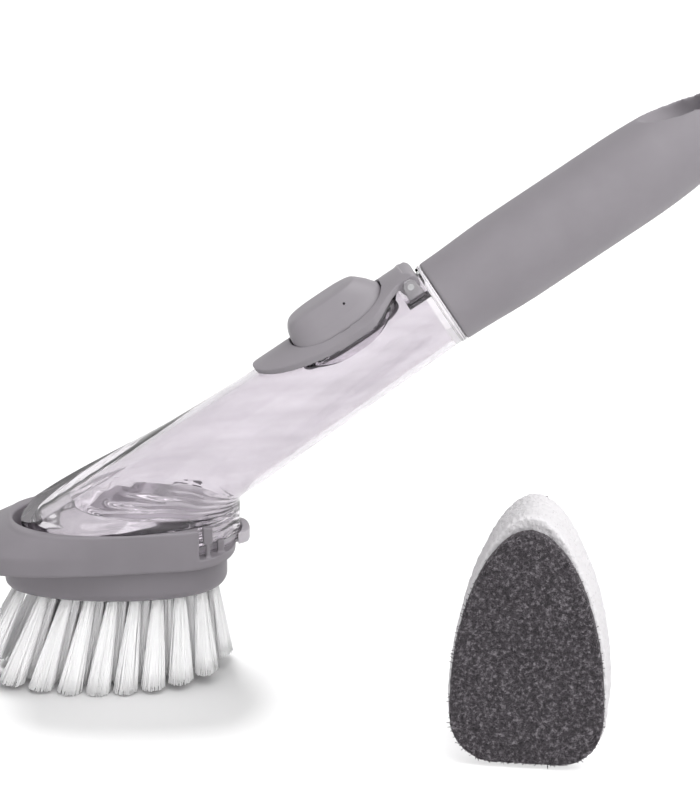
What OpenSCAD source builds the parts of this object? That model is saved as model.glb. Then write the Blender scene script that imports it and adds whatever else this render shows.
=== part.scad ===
// Dish wand with a soap reservoir, a pump lid and a brush head that comes off,
// and a spare sponge head that stands beside it.
// The origin is on the wand's axis where the hand holds the grip.

/* [Wand axis] */
// Slope of the tube and the grip above the level head, in degrees
pitch = 32.6; // [30:0.1:36]
// Height of the wand's axis over the seat of the brush head, at the head's centre
axis_rise = 9; // [8:0.5:10]

/* [Tube] */
// Length of the clear tube from the head's centre to the collar
tube_len = 121; // [112:1:135]
// Outer radius of the tube at the collar
tube_r = 13.4; // [12.8:0.1:14.2]
// Half angle of the tube's taper, in degrees
tube_flare = 1.7; // [1.3:0.1:2.1]
// Wall of the tube
tube_wall = 1.8; // [1.4:0.1:2.2]
// Width of the collar ring
collar_w = 2; // [1.5:0.1:3]
// How far the collar ring stands proud of the tube
collar_lip = 0.3; // [0.1:0.1:0.6]
// Length of the spigot that plugs into the handle
spigot_len = 12; // [9:0.5:16]
// Outer radius of the spigot
spigot_r = 10; // [8.5:0.1:10.5]

/* [Base of the reservoir] */
// Length of the oval base
base_l = 68.6; // [66:0.2:72]
// Width of the oval base
base_w = 42; // [40:0.5:46]
// Offset of the base's centre behind the head's centre
base_x = 5; // [4:0.5:6]
// Height of the base's skirt
skirt_h = 12.2; // [11:0.2:13.4]
// Wall of the base
base_wall = 2.1; // [1.6:0.1:2.6]
// Extra thickness of the base at its front tip
tip_solid = 4; // [3:0.5:6]
// Distance up the axis at which the base has blended into the tube
blend_u = 38; // [34:1:44]

/* [Filler opening and lid] */
// Length of the pump button along the tube
button_l = 32.7; // [28:0.1:35]
// Width of the pump button
button_w = 19.6; // [17:0.1:20.5]
// Height of the pump button's top above the lid's leaf
button_h = 6.6; // [5:0.1:8]
// Travel of the pump button
stroke = 2.5; // [1.5:0.1:3]
// Wall of the pump button
button_wall = 1.4; // [1:0.1:1.8]
// Wall and floor of the tray under the lid
tray_wall = 1; // [0.8:0.1:1.4]
// Width of the clear filler rim around the tray
filler_lip = 1.9; // [1.6:0.1:2.6]
// Height of the filler rim above the tube
filler_rise = 0.2; // [0.1:0.1:0.4]
// Thickness of the lid's leaf
leaf_t = 1.7; // [1.4:0.1:2.4]
// Widest width of the leaf
leaf_w = 25; // [24.6:0.1:27]
// How far the leaf's rounded tip reaches past the button
leaf_nose = 14.1; // [10:0.1:18]
// Width of the leaf's strap
strap_w = 14.6; // [12:0.2:15]
// Thickness of the port gasket
gasket_t = 0.42; // [0.35:0.01:0.6]
// Radius of the bellows under the button
bellows_r = 5; // [4:0.1:5.5]

/* [Lid hinge] */
// Radius of the knuckle at the end of the strap
knuckle_r = 3.4; // [3:0.1:3.8]
// Radius of the hinge pin
pin_r = 1; // [0.8:0.05:1.3]
// Thickness of each clear hinge ear
ear_t = 1.6; // [1.3:0.1:1.8]

/* [Grip] */
// Length of the grip
grip_len = 113; // [105:1:125]
// Largest radius of the grip
grip_r = 14.7; // [14.2:0.1:16]
// How much slimmer the grip is at the collar
grip_neck = 0.9; // [0.2:0.1:1.2]
// Length of the slim stretch at the collar
neck_len = 27; // [20:1:34]
// Length of the rounded tail
tail_len = 50; // [44:1:56]
// Distance from the collar to where the hand holds the grip
hand_at = 47; // [40:1:55]
// Thickness of the soft skin over the core
skin_t = 2.4; // [1.8:0.1:3]
// Length of the hollow core inside the grip
core_len = 82; // [70:1:84]
// Wall of the hollow core
core_wall = 2; // [1.5:0.1:2.6]
// Radius of the hanging hole
hang_r = 7.2; // [5:0.1:7.6]
// Distance from the hanging hole's centre to the end of the grip
hang_back = 14.5; // [13.5:0.5:17]
// Slope of the scooped lead-in to the hole, in degrees
scoop_slope = 50; // [44:1:60]
// Height above the axis at which the scoop runs into the hole
scoop_rise = 4; // [3:0.5:6]

/* [Head frame] */
// Wall of the frame beside the base
frame_wall = 1.7; // [1.4:0.1:2.4]
// Height of the frame above the seat of the brush head
frame_h = 12; // [10.6:0.2:12.4]
// How far the scraper nose reaches in front of the base
nose_len = 18.7; // [17:0.1:24]
// Height of the wall around the nose
nose_h = 5.1; // [4.8:0.1:7]
// Rise of the underside of the nose, in degrees
nose_rise = 5; // [2:0.5:8]
// Distance of the frame's widest place behind the head's centre
frame_x = 16; // [13:0.5:18]
// How far the frame's heel stays short of the base's heel
heel_back = 1.8; // [1.2:0.1:2.6]
// Where the frame's wall steps down at the rear
window_x = 24; // [20:0.5:24.5]
// Thickness of the web that the base stands on
web_t = 2; // [1.6:0.1:2.6]
// Depth to which the frame's edge hangs over the brush block
frame_skirt = 0.8; // [0.4:0.1:1.4]
// Length of each snap peg
peg_l = 3; // [2:0.1:3.4]
// Thickness of each snap peg
peg_t = 2.4; // [1.6:0.1:2.6]

/* [Valve plate] */
// Thickness of the valve plate
plate_t = 2; // [1.6:0.1:2.6]
// Outer radius of the soap nozzle
nozzle_r = 2.2; // [1.8:0.1:2.6]
// Bore radius of the soap nozzle
nozzle_bore = 1.2; // [0.8:0.1:1.3]
// Length of the nozzle below the plate's boss
nozzle_len = 2.7; // [2:0.1:4]
// Radius of the outlet valve
valve_r = 5; // [4:0.1:6]

/* [Release latch] */
// Width of the thumb lip
tab_w = 15; // [12:0.5:18]
// How far the thumb lip reaches behind the base
tab_reach = 2.9; // [2.4:0.1:4]
// Height of the thumb lip
tab_h = 3.8; // [3:0.1:4.6]
// Width of the latch's tongue
tongue_w = 8; // [6:0.5:9]
// Thickness of the latch's tongue
tongue_t = 1.4; // [1:0.1:1.5]
// Travel that the tongue's head leaves the latch
latch_travel = 3; // [2:0.1:3.2]

/* [Brush block] */
// Length of the brush block
block_l = 69.6; // [67:0.2:71]
// Width of the brush block
block_w = 41; // [39:0.5:42]
// Height of the brush block
block_h = 11.5; // [9:0.5:14]
// Distance of the block's widest place behind the head's centre
block_x = 8; // [6:0.5:10]
// Rounding of the block's lower edge
block_edge = 3.2; // [2:0.1:4]
// Height of the locating rim
rim_h = 1.9; // [1.5:0.1:2.1]
// Wall of the locating rim
rim_wall = 1.8; // [1.4:0.1:2.4]
// Width of the front hook
hook_w = 6; // [5:0.2:7]
// Radius of the soap channel
channel_r = 3; // [2.8:0.1:3.2]

/* [Bristles] */
// Free length of the bristles
bristle_out = 30; // [22:0.5:34]
// Radius of a tuft at its root
root_r = 1.65; // [1.3:0.05:1.75]
// Radius of a tuft at its tip
tip_r = 2.9; // [2:0.1:2.95]
// Distance between neighbouring tufts along the head
tuft_pitch = 6.9; // [6.5:0.1:7.1]
// Distance of the outer tufts from the block's side
tuft_margin = 5.2; // [4.9:0.1:5.6]
// Distance from the outer row to the middle row
row_gap = 6.8; // [6.5:0.1:7]
// Radius of the curve to which the bristles are trimmed
trim_r = 185; // [150:5:260]
// Depth of the tuft holes
hole_depth = 6; // [5:0.1:7]

/* [Spare sponge head] */
// Length of the sponge
sponge_l = 75.5; // [70.5:0.5:78]
// Width of the sponge
sponge_w = 48; // [44:0.5:52]
// Thickness of the foam
foam_t = 20; // [14:0.5:26]
// Thickness of the scouring pad
pad_t = 5; // [3:0.5:8]
// Inset of the scouring pad from the edge of the foam
pad_inset = 1.2; // [0.6:0.1:3]
// Thickness of the sponge's plate
sponge_plate_t = 2.6; // [2:0.1:4]
// Distance of the spare head behind the head's centre
spare_x = 116; // [100:1:130]
// Distance of the spare head to the side of the wand
spare_y = -78; // [-120:1:-70]
// Turn of the spare head about the vertical, in degrees
spare_turn = -17; // [-25:1:20]

/* [Hidden] */

// Clearances: between fixed pieces, around moving pieces, around the heads, around shafts,
// inside glued joints and around the port gasket
seat_gap = 0.3;
move_gap = 0.3;
head_gap = 0.4;
shaft_gap = 0.05;
glue_gap = 0.03;
gasket_gap = 0.08;
// Overlap of solids that are joined or cut
bite = 0.4;
// Thickness of the slices that a hull joins
slice = 0.5;
// Larger than any piece
far = 300;
// Points around an outline and facets around a circle
outline_steps = 60;
$fn = 64;

// Colours as the photograph shows them
grip_grey = [0.61, 0.59, 0.61];
frame_grey = [0.55, 0.53, 0.55];
block_grey = [0.50, 0.48, 0.50];
tab_grey = [0.72, 0.70, 0.72];
clear = [0.87, 0.86, 0.88, 0.4];
silicone = [0.35, 0.34, 0.36];
steel = [0.75, 0.75, 0.77];
white = [0.94, 0.93, 0.95];
pale = [0.84, 0.83, 0.85];
pad_grey = [0.33, 0.31, 0.33];

// Heights in the head's own frame, where 0 is the seat of the brush head
roof_t = 4;
// Inset of the blended shoulder inside the tube's outline where it ends
blend_inset = 1.1;
web_z = seat_gap;
skirt_z = web_z + web_t;
ledge_z = skirt_z + skirt_h;
roof_z = ledge_z - roof_t;
tips_z = -block_h - bristle_out;

// Places along the wand's axis, counted from the head's centre
face_u = tube_len + collar_w;
hand_u = face_u + hand_at;
grip_end = face_u + grip_len;
hinge_u = tube_len - knuckle_r - seat_gap;
deck_u = hinge_u - knuckle_r - 2 * seat_gap;
open_rear = deck_u - filler_lip;
tray_rear = open_rear - move_gap;
button_rear = tray_rear - tray_wall - move_gap;
button_u = button_rear - button_l / 2;
button_front = button_rear - button_l;
tray_front = button_front - move_gap - tray_wall;
// The tray's front edge swings forward a little as the lid opens
swing_gap = 0.9;
open_front = tray_front - swing_gap;
filler_front = open_front - filler_lip - seat_gap;
leaf_tip = button_front - leaf_nose;
leaf_wide = button_u + 4;
hang_u = grip_end - hang_back;

// Radii about the wand's axis
filler_r = tube_at(filler_front) + filler_rise;
leaf_in = filler_r + gasket_t + gasket_gap;
leaf_out = leaf_in + leaf_t;
strap_drop = 0.7;
spring_room = 0.5;
vent_r = 1;
hinge_h = leaf_out - strap_drop - knuckle_r;
deck_h = hinge_h - knuckle_r - seat_gap;
button_low = sqrt(pow(leaf_in, 2) - pow(button_w / 2 + move_gap, 2)) - 0.1;
tray_floor = button_low - stroke - spring_room;
button_top = leaf_out + button_h;

// Half widths; the leaf stands over the filler rim by its brim
leaf_brim = 0.2;
tray_half = button_w / 2 + move_gap + tray_wall;
open_half = tray_half + move_gap;
filler_half = leaf_w / 2 - leaf_brim;
ear_in = strap_w / 2 + move_gap;
knuckle_half = strap_w / 2;
frame_half = base_w / 2 + seat_gap + frame_wall;

// The frame's outline: its nose end, its heel end and its opening's front
frame_front = frame_x - (base_x - base_l / 2 - nose_len);
frame_rear = base_x + base_l / 2 - heel_back - frame_x;
opening_front = 2.2;
frame_n_front = 3;
frame_n_rear = 2.35;

// The block's outline: widest at block_x, narrow end in front
block_front = block_l * 0.615;
block_rear = block_l - block_front;
block_n_front = 1.8;
block_n_rear = 2.5;

// The valve plate's rebate for its gasket, the plate's gap to the base, and the outlet valve
plate_rebate = 1.5;
plate_gap = 0.1;
valve_flange_t = 1.2;
valve_h = 3;
cap_lip = 0.64;

// The locating rim that the brush block and the sponge plate share
// It stays inside the base's ends and sides
rim_end_back = 9.3;
rim_side_back = 6;
rim_front = block_x - (base_x - base_l / 2 + rim_end_back);
rim_rear = base_x + base_l / 2 - rim_end_back - block_x;
rim_half = base_w / 2 - rim_side_back;

// The seal in the mouth of the soap channel
seal_t = 1.5;
seal_wall = 2;

// The front hook and the axis about which the head swings down
hook_x = block_x - block_front - 0.8;
hook_z = 1;
hook_reach = 3;
hook_t = 1.4;
// The hook lies a step above and behind that axis
hook_step = 0.2;

// The latch: a tongue in the web, with a wider head at its inner end and a lip outside
tongue_low = (web_z + skirt_z - tongue_t) / 2;
tongue_tip = block_x + rim_rear + 2 * head_gap;
tongue_head = 1.5;
lip_gap = 0.5;

// Tufts: the first column, the pair at the rear, and the columns that fit before it
first_tuft = -29.8;
middle_shift = 1.5;
rear_pair_x = block_x + block_rear - tuft_margin;
rear_pair_y = 4.2;
outer_room = 3;
middle_room = 6;
channel_room = 1.5;
// A centre tuft fits where the middle rows leave this much on each side
centre_room = 5;
outer_columns = 1 + floor((rear_pair_x - outer_room - column(0)) / tuft_pitch);
middle_columns = 1 + floor((rear_pair_x - middle_room - column(middle_shift)) / tuft_pitch);
centre_columns = [
  for (i = [0 : outer_columns - 1])
    if (
      abs(column(i) - base_x) > channel_r + root_r + channel_room
      && block_half(column(i)) - tuft_margin - row_gap > centre_room
    ) i
];

// The fan of the tips and the curve to which they are trimmed
fan_x = 0.26;
fan_y = 0.25;
fan_pivot = 21;
trim_x = -10;
anchor_h = 1.4;
anchor_t = 0.36;

// The sponge's outline: narrow end in front, flat heel that it stands on
sponge_front = sponge_l * 0.745;
sponge_rear = sponge_l - sponge_front;
sponge_n_front = 1.9;
sponge_n_rear = 2.8;
// Its narrow end reaches past the front hook
sponge_nose = hook_reach + 1.4;
sponge_x = block_x - block_front + sponge_front - sponge_nose;
heel_round = 1;

function tube_at(u) = tube_r + (tube_len - u) * tan(tube_flare);

// A superellipse with its own length and fullness in front and at the rear
function egg(front, rear, half, n_front, n_rear) = [
  for (i = [0 : outline_steps - 1])
    let (
      t = 360 * i / outline_steps,
      c = cos(t),
      s = sin(t),
      l = c < 0 ? front : rear,
      n = c < 0 ? n_front : n_rear
    )
    [l * sign(c) * pow(abs(c), 2 / n), half * sign(s) * pow(abs(s), 2 / n)]
];

// Half width of such an outline at a distance x from its widest place
function half_at(x, front, rear, half, n_front, n_rear) =
  let (
    l = x < 0 ? front : rear,
    n = x < 0 ? n_front : n_rear,
    share = min(1, abs(x) / l)
  )
  half * pow(1 - pow(share, n), 1 / n);

function block_half(x) =
  half_at(x - block_x, block_front, block_rear, block_w / 2, block_n_front, block_n_rear);

function frame_half_at(x) =
  half_at(x - frame_x, frame_front, frame_rear, frame_half, frame_n_front, frame_n_rear);

// Outline of the lid's leaf, as half width along the tube
function leaf_half(u) =
  let (
    front = leaf_wide - leaf_tip,
    neck = (min(max(u, leaf_wide + 2), hinge_u - 1) - leaf_wide - 2) / (hinge_u - leaf_wide - 3)
  )
  u < leaf_wide
    ? leaf_w / 2 * pow(1 - pow((leaf_wide - u) / front, 2.5), 0.4)
    : strap_w / 2 + (leaf_w - strap_w) / 2 * (1 + cos(180 * neck)) / 2;

// Radius of the grip at a distance x from the collar, before its tail
function swell(x) = grip_r - grip_neck * (1 + cos(180 * min(1, x / neck_len))) / 2;

// Radius and distance of the grip's outer face, with a skin taken off
function grip_points(skin, steps) = concat(
  [for (i = [0 : steps]) let (x = (grip_len - tail_len) * i / steps) [swell(x) - skin, x]],
  [
    for (i = [1 : steps])
      let (t = 90 * i / steps)
      [
        max(0, grip_r * pow(cos(t), 2 / 2.4) - skin),
        grip_len - tail_len + (tail_len - skin) * pow(sin(t), 2 / 2.4)
      ]
  ]
);

// Places the children in the wand's own frame: x runs up its axis, z points to the lid
module along() {
  rotate([0, -pitch, 0]) translate([-hand_u, 0, 0]) children();
}

// Places the children in the level frame of the head
module head() {
  translate([-hand_u * cos(pitch), 0, -hand_u * sin(pitch) - axis_rise]) children();
}

// A round piece on the wand's axis that starts at u
module barrel(u, h, r1, r2) {
  translate([u, 0, 0]) rotate([0, 90, 0]) cylinder(h = h, r1 = r1, r2 = r2);
}

// A round piece across the wand
module across(r, half) {
  rotate([90, 0, 0]) cylinder(h = 2 * half, r = r, center = true);
}

// A prism of an outline between two heights
module prism(points, low, high) {
  translate([0, 0, low]) linear_extrude(height = high - low) polygon(points);
}

// A block from its lowest to its highest corner
module block(low, high) {
  translate(low) cube(high - low);
}

module base_prism(inset, front, low, high) {
  half_l = base_l / 2 - inset;
  translate([base_x, 0, 0])
    prism(egg(half_l - front, half_l, base_w / 2 - inset, 2, 2), low, high);
}

module block_prism(grow, low, high) {
  translate([block_x, 0, 0])
    prism(
      egg(block_front + grow, block_rear + grow, block_w / 2 + grow, block_n_front, block_n_rear),
      low, high
    );
}

module rim_prism(grow, low, high) {
  translate([block_x, 0, 0])
    prism(egg(rim_front + grow, rim_rear + grow, rim_half + grow, 2, 2), low, high);
}

// A prism of the tray's oval, grown by a length and with its own front end
module tray_prism(front_u, rear_u, half, low, high) {
  middle = (front_u + rear_u) / 2;
  reach = (rear_u - front_u) / 2;
  translate([middle, 0, 0]) prism(egg(reach, reach, half, 2.6, 2.6), low, high);
}

module leaf_prism(inset, low, high) {
  steps = 28;
  span = hinge_u - leaf_tip - inset;
  side = [
    for (i = [0 : steps])
      let (u = leaf_tip + inset + span * (1 - cos(90 * i / steps)))
      [u, max(0.1, leaf_half(u) - inset)]
  ];
  prism(concat(side, [for (i = [steps : -1 : 0]) [side[i][0], -side[i][1]]]), low, high);
}

// The clear reservoir: tapered tube, flared base, collar, spigot, filler rim and hinge ears

module tube_outside() {
  start = -24;
  difference() {
    along() barrel(start, tube_len - start, tube_at(start), tube_r);
    head() block([-far, -far, -far], [far, far, ledge_z - bite]);
  }
}

module base_outside() {
  difference() {
    head() base_prism(0, 0, skirt_z, ledge_z);
    along() translate([0, 0, tube_at(0)]) rotate([0, tube_flare, 0])
      block([-far, -far, 0], [-bite, far, far]);
  }
  // The shoulder starts behind the round tip and ends just inside the tube
  shoulder_back = 6;
  end_r = tube_at(blend_u) - blend_inset;
  hull() {
    head() base_prism(bite, tip_solid + shoulder_back, ledge_z - slice, ledge_z);
    along() barrel(blend_u, slice, end_r, end_r, $fn = 32);
  }
}

module filler_rim() {
  along() intersection() {
    barrel(filler_front - 2, deck_u - filler_front + 2, filler_r, filler_r);
    tray_prism(filler_front, deck_u, filler_half, deck_h / 2, far);
  }
}

module hinge_ears() {
  ear_wall = 1.3;
  ear_r = pin_r + ear_wall;
  along() for (side = [-1, 1]) translate([hinge_u, side * (ear_in + ear_t / 2), hinge_h]) {
    across(ear_r, ear_t / 2);
    block([-ear_r, -ear_t / 2, -knuckle_r - seat_gap - bite], [ear_r, ear_t / 2, 0]);
  }
}

// Room in the collar for the strap's end as the lid opens
module strap_relief() {
  relief_r = leaf_out - hinge_h + 2 * move_gap;
  intersection() {
    translate([hinge_u, 0, hinge_h]) across(relief_r, ear_in);
    block([hinge_u, -far, hinge_h - knuckle_r], [far, far, far]);
  }
}

module reservoir_cavity() {
  low_u = 5;
  high_u = tube_len - 2;
  end_r = tube_at(blend_u) - tube_wall - blend_inset;
  difference() {
    along()
      barrel(low_u, high_u - low_u, tube_at(low_u) - tube_wall, tube_at(high_u) - tube_wall);
    along() block([deck_u - tube_wall, -far, deck_h - tube_wall], [far, far, far]);
  }
  head() base_prism(base_wall, tip_solid, skirt_z - bite, roof_z);
  hull() {
    head() base_prism(base_wall + 1.5, tip_solid - 1, roof_z - slice, roof_z);
    along() barrel(blend_u, slice, end_r, end_r, $fn = 32);
  }
}

module reservoir_body() {
  color(clear) difference() {
    union() {
      difference() {
        union() {
          tube_outside();
          base_outside();
          filler_rim();
        }
        along() block([deck_u, -far, deck_h], [far, far, far]);
      }
      hinge_ears();
      along() difference() {
        barrel(tube_len, collar_w, tube_r + collar_lip, tube_r + collar_lip);
        strap_relief();
      }
      along() barrel(tube_len + collar_w - bite, spigot_len + bite, spigot_r, spigot_r);
    }
    reservoir_cavity();
    along() {
      tray_prism(open_front, open_rear, open_half, deck_h / 3, far);
      barrel(tube_len + slice, far, spigot_r - tube_wall, spigot_r - tube_wall);
      translate([hinge_u, 0, hinge_h]) across(pin_r + glue_gap, far);
    }
  }
}

// The grip: soft skin over a hollow core, with the hanging hole through its tail

module core_outside(grow) {
  along() translate([face_u, 0, 0]) rotate([0, 90, 0]) intersection() {
    rotate_extrude() polygon(concat([[0, 0]], grip_points(skin_t, 16)));
    cylinder(h = core_len + grow, r = far);
  }
}

module grip_sleeve() {
  color(grip_grey) difference() {
    along() translate([face_u, 0, 0]) rotate([0, 90, 0])
      rotate_extrude() polygon(concat([[0, 0]], grip_points(0, 16)));
    core_outside(glue_gap);
    along() translate([hang_u, 0, -far / 2]) cylinder(h = far, r = hang_r);
    along() translate([hang_u, 0, scoop_rise]) rotate([0, scoop_slope - 90, 0])
      cylinder(h = far, r = hang_r);
  }
}

module handle_core() {
  socket_r = spigot_r + glue_gap;
  hollow_r = grip_r - skin_t - grip_neck - core_wall;
  hollow_len = core_len - spigot_len - 2 * core_wall;
  color(block_grey) difference() {
    core_outside(0);
    along() {
      barrel(face_u - bite, spigot_len + seat_gap + bite, socket_r, socket_r);
      barrel(face_u + spigot_len + core_wall, hollow_len, hollow_r, hollow_r);
    }
  }
}

// The frame around the base: scraper nose, web, snap pegs and the latch's guide

module frame_outside() {
  // The rim on top reaches less far forward, and leans in a little elsewhere
  rim_reach = 4.5;
  lean = 0.5;
  rim_front_l = frame_x - (base_x - base_l / 2 - rim_reach);
  translate([frame_x, 0, 0]) hull() {
    prism(
      egg(frame_front, frame_rear, frame_half, frame_n_front, frame_n_rear), -frame_skirt, nose_h
    );
    prism(
      egg(rim_front_l, frame_rear - lean, frame_half - lean, frame_n_front, frame_n_rear),
      frame_h - slice, frame_h
    );
  }
}

// A tall and a low peg on each side, just inside the frame's outline
module frame_pegs() {
  rise = frame_h - skirt_z;
  inset = 0.4;
  // Distance of each peg behind the wall's end, and its height
  pegs = [[3, rise], [7.4, rise / 2]];
  for (side = [-1, 1], peg = pegs) {
    x = window_x + peg[0];
    inner = frame_half_at(x + peg_l / 2) - peg_t - inset;
    translate([x, side * (inner + peg_t / 2), skirt_z])
      block([-peg_l / 2, -peg_t / 2, -bite], [peg_l / 2, peg_t / 2, peg[1]]);
  }
}

// The slot for the latch's tongue, with a wider pocket for its head
module latch_guide() {
  half = tongue_w / 2 + move_gap;
  pocket = half + tongue_head;
  pocket_rear = tongue_tip + tongue_head + latch_travel + glue_gap;
  block([tongue_tip - 1, -pocket, web_z], [pocket_rear, pocket, skirt_z + bite]);
  block([tongue_tip - 1, -half, web_z], [far, half, skirt_z + bite]);
}

// Room for the front hook, and wider room below it for the block's corners as they swing
module hook_pocket() {
  half = hook_w / 2 + head_gap;
  corner_half = half + 2;
  ledge_x = hook_x - 1.2;
  front = hook_x - hook_reach - 0.9;
  rear = hook_x + 2.7;
  top = hook_z + 3.6;
  block([front, -half, hook_z - hook_step / 2], [rear, half, top]);
  block([ledge_x, -half, -far], [rear, half, hook_z]);
  block([hook_x - hook_step, -corner_half, -far], [rear, corner_half, web_z]);
}

module head_frame() {
  nose_root = block_x - block_front - 3;
  color(frame_grey) head() difference() {
    union() {
      difference() {
        frame_outside();
        block([window_x, -far, skirt_z], [far, far, far]);
        translate([base_x, 0, 0])
          prism(
            egg(
              base_l / 2 + seat_gap + opening_front, base_l / 2 + seat_gap,
              base_w / 2 + seat_gap, 2, 2
            ),
            skirt_z, far
          );
      }
      frame_pegs();
    }
    block_prism(head_gap, -far, web_z);
    rim_prism(head_gap, -bite, far);
    hook_pocket();
    latch_guide();
    translate([nose_root, 0, -frame_skirt]) rotate([0, nose_rise, 0])
      block([-far, -far, -far], [0, far, 0]);
  }
}

// The plate that closes the reservoir, its seal and the soap outlet

module valve_plate() {
  inset = base_wall + plate_gap;
  boss_wall = 2;
  color(pale) head() difference() {
    union() {
      base_prism(inset, tip_solid, skirt_z, skirt_z + plate_t / 2);
      base_prism(inset + plate_rebate, tip_solid, skirt_z, skirt_z + plate_t);
      translate([base_x, 0, web_z + plate_gap]) cylinder(h = web_t, r = valve_r + boss_wall);
      translate([base_x, 0, web_z - nozzle_len]) cylinder(h = nozzle_len + web_t, r = nozzle_r);
    }
    translate([base_x, 0, -far]) cylinder(h = 2 * far, r = nozzle_bore);
  }
}

module plate_gasket() {
  low = skirt_z + plate_t / 2;
  color(silicone) head() difference() {
    base_prism(base_wall + plate_gap / 2, tip_solid, low, low + plate_t / 2);
    base_prism(base_wall + plate_gap + plate_rebate, tip_solid, low - bite, low + plate_t);
  }
}

module outlet_valve() {
  low = skirt_z + plate_t;
  slit_half = 0.15;
  color(white) head() translate([base_x, 0, low]) difference() {
    union() {
      cylinder(h = valve_flange_t, r = valve_r);
      cylinder(h = valve_h, r1 = valve_r * 0.56, r2 = valve_r * 0.3);
    }
    translate([0, 0, -bite]) cylinder(h = valve_flange_t + bite, r = nozzle_bore);
    block([-valve_r * 0.2, -slit_half, valve_h / 3], [valve_r * 0.2, slit_half, far]);
  }
}

module valve_cap() {
  low = skirt_z + plate_t;
  cap_wall = 1.8;
  color(pale) head() translate([base_x, 0, low]) difference() {
    cylinder(h = 2 * valve_flange_t, r = valve_r + cap_wall);
    translate([0, 0, -bite])
      cylinder(h = valve_flange_t + bite + shaft_gap, r = valve_r + glue_gap);
    cylinder(h = far, r = valve_r * cap_lip);
  }
}

// The lid and what it carries

module hinge_pin() {
  color(steel) along() translate([hinge_u, 0, hinge_h]) across(pin_r, ear_in + ear_t);
}

module lid_leaf() {
  color(grip_grey) along() difference() {
    union() {
      intersection() {
        difference() {
          barrel(leaf_tip - 1, far, leaf_out, leaf_out);
          barrel(leaf_tip - 2, far, leaf_in, leaf_in);
        }
        leaf_prism(0, deck_h / 3, far);
      }
      intersection() {
        translate([hinge_u, 0, hinge_h]) across(knuckle_r, knuckle_half);
        barrel(leaf_tip, far, leaf_out, leaf_out);
      }
    }
    tray_prism(
      button_front - move_gap, button_rear + move_gap, button_w / 2 + move_gap, deck_h / 3, far
    );
    translate([hinge_u, 0, hinge_h]) across(pin_r + shaft_gap, far);
  }
}

module lid_tray() {
  color(block_grey) along() difference() {
    intersection() {
      tray_prism(tray_front, tray_rear, tray_half, tray_floor - tray_wall, far);
      barrel(leaf_tip, far, leaf_in, leaf_in);
    }
    tray_prism(
      button_front - move_gap, button_rear + move_gap, button_w / 2 + move_gap, tray_floor, far
    );
    translate([button_u, 0, 0]) cylinder(h = far, r = vent_r);
  }
}

module port_gasket() {
  color(silicone) along() difference() {
    intersection() {
      difference() {
        barrel(leaf_tip, far, leaf_in - glue_gap, leaf_in - glue_gap);
        barrel(leaf_tip - 1, far, filler_r + gasket_gap, filler_r + gasket_gap);
      }
      tray_prism(
        filler_front + leaf_brim, deck_u - leaf_brim, filler_half - leaf_brim, deck_h / 3, far
      );
      leaf_prism(seat_gap, deck_h / 3, far);
    }
    tray_prism(tray_front, tray_rear, tray_half, 0, far);
  }
}

module pump_bellows() {
  low = tray_floor;
  high = button_top - button_wall - bite;
  folds = 4;
  step = (high - low) / (2 * folds);
  wall = 0.8;
  outside = [
    for (i = [0 : 2 * folds])
      [bellows_r * (1 - 0.25 * i / folds) - (i % 2 == 0 ? 0 : 1), low + i * step]
  ];
  color(silicone) along() translate([button_u, 0, 0]) rotate_extrude()
    polygon(concat(outside, [for (i = [2 * folds : -1 : 0]) outside[i] - [wall, 0]]));
}

module air_valve() {
  flap_t = 0.6;
  color(silicone) along() translate([button_u, 0, tray_floor - tray_wall]) {
    translate([0, 0, -flap_t]) cylinder(h = flap_t, r = 3.4);
    cylinder(h = tray_wall, r = vent_r - glue_gap);
  }
}

// The button's outside or, with a wall taken off, its inside, which runs out below
module button_form(wall) {
  foot = button_low - (wall > 0 ? bite : 0);
  shoulder = button_low + 2.4;
  top = button_top - wall;
  // Share of the length, share of the width, bottom and top of each layer
  layers = [
    [1, 1, foot, shoulder],
    [0.98, 0.8, leaf_out - slice, leaf_out],
    [0.66, 0.54, top - 1, top - 0.6],
    [0.44, 0.36, top - 0.2, top]
  ];
  hull() for (layer = layers) {
    reach = button_l * layer[0] / 2 - wall;
    half = button_w * layer[1] / 2 - wall;
    tray_prism(button_u - reach, button_u + reach, half, layer[2], layer[3]);
  }
}

module pump_button() {
  inlet_r = 0.35;
  color(grip_grey) along() difference() {
    button_form(0);
    button_form(button_wall);
    translate([button_u + 2, -button_w / 4, leaf_out + 2]) rotate([60, 0, 0])
      cylinder(h = 4 * button_wall, r = inlet_r, center = true);
  }
}

// The latch that holds the rear of the brush head: pulled out by its thumb lip

module thumb_lip() {
  low = tongue_low + tongue_t / 2;
  root = 3.2;
  difference() {
    translate([base_x + base_l / 2 - root, 0, 0])
      prism(egg(root, root + tab_reach, tab_w / 2, 2, 2.4), low, low + tab_h);
    base_prism(-lip_gap, 0, -far, far);
  }
}

module release_latch() {
  high = tongue_low + tongue_t;
  half = tongue_w / 2;
  lip_x = base_x + base_l / 2 + lip_gap;
  color(tab_grey) head() {
    thumb_lip();
    block([tongue_tip, -half, tongue_low], [lip_x + tab_reach / 2, half, high]);
    block(
      [tongue_tip, -half - tongue_head, tongue_low],
      [tongue_tip + tongue_head, half + tongue_head, high]
    );
  }
}

// The brush head

module locating_rim() {
  difference() {
    rim_prism(0, -bite, rim_h);
    rim_prism(-rim_wall, -2 * bite, far);
  }
}

module front_hook() {
  root = hook_x + 1.8;
  depth = 1;
  low = hook_z + hook_step;
  block([hook_x + hook_step, -hook_w / 2, -depth], [root, hook_w / 2, low + hook_t]);
  block([hook_x - hook_reach, -hook_w / 2, low], [root, hook_w / 2, low + hook_t]);
}

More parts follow.
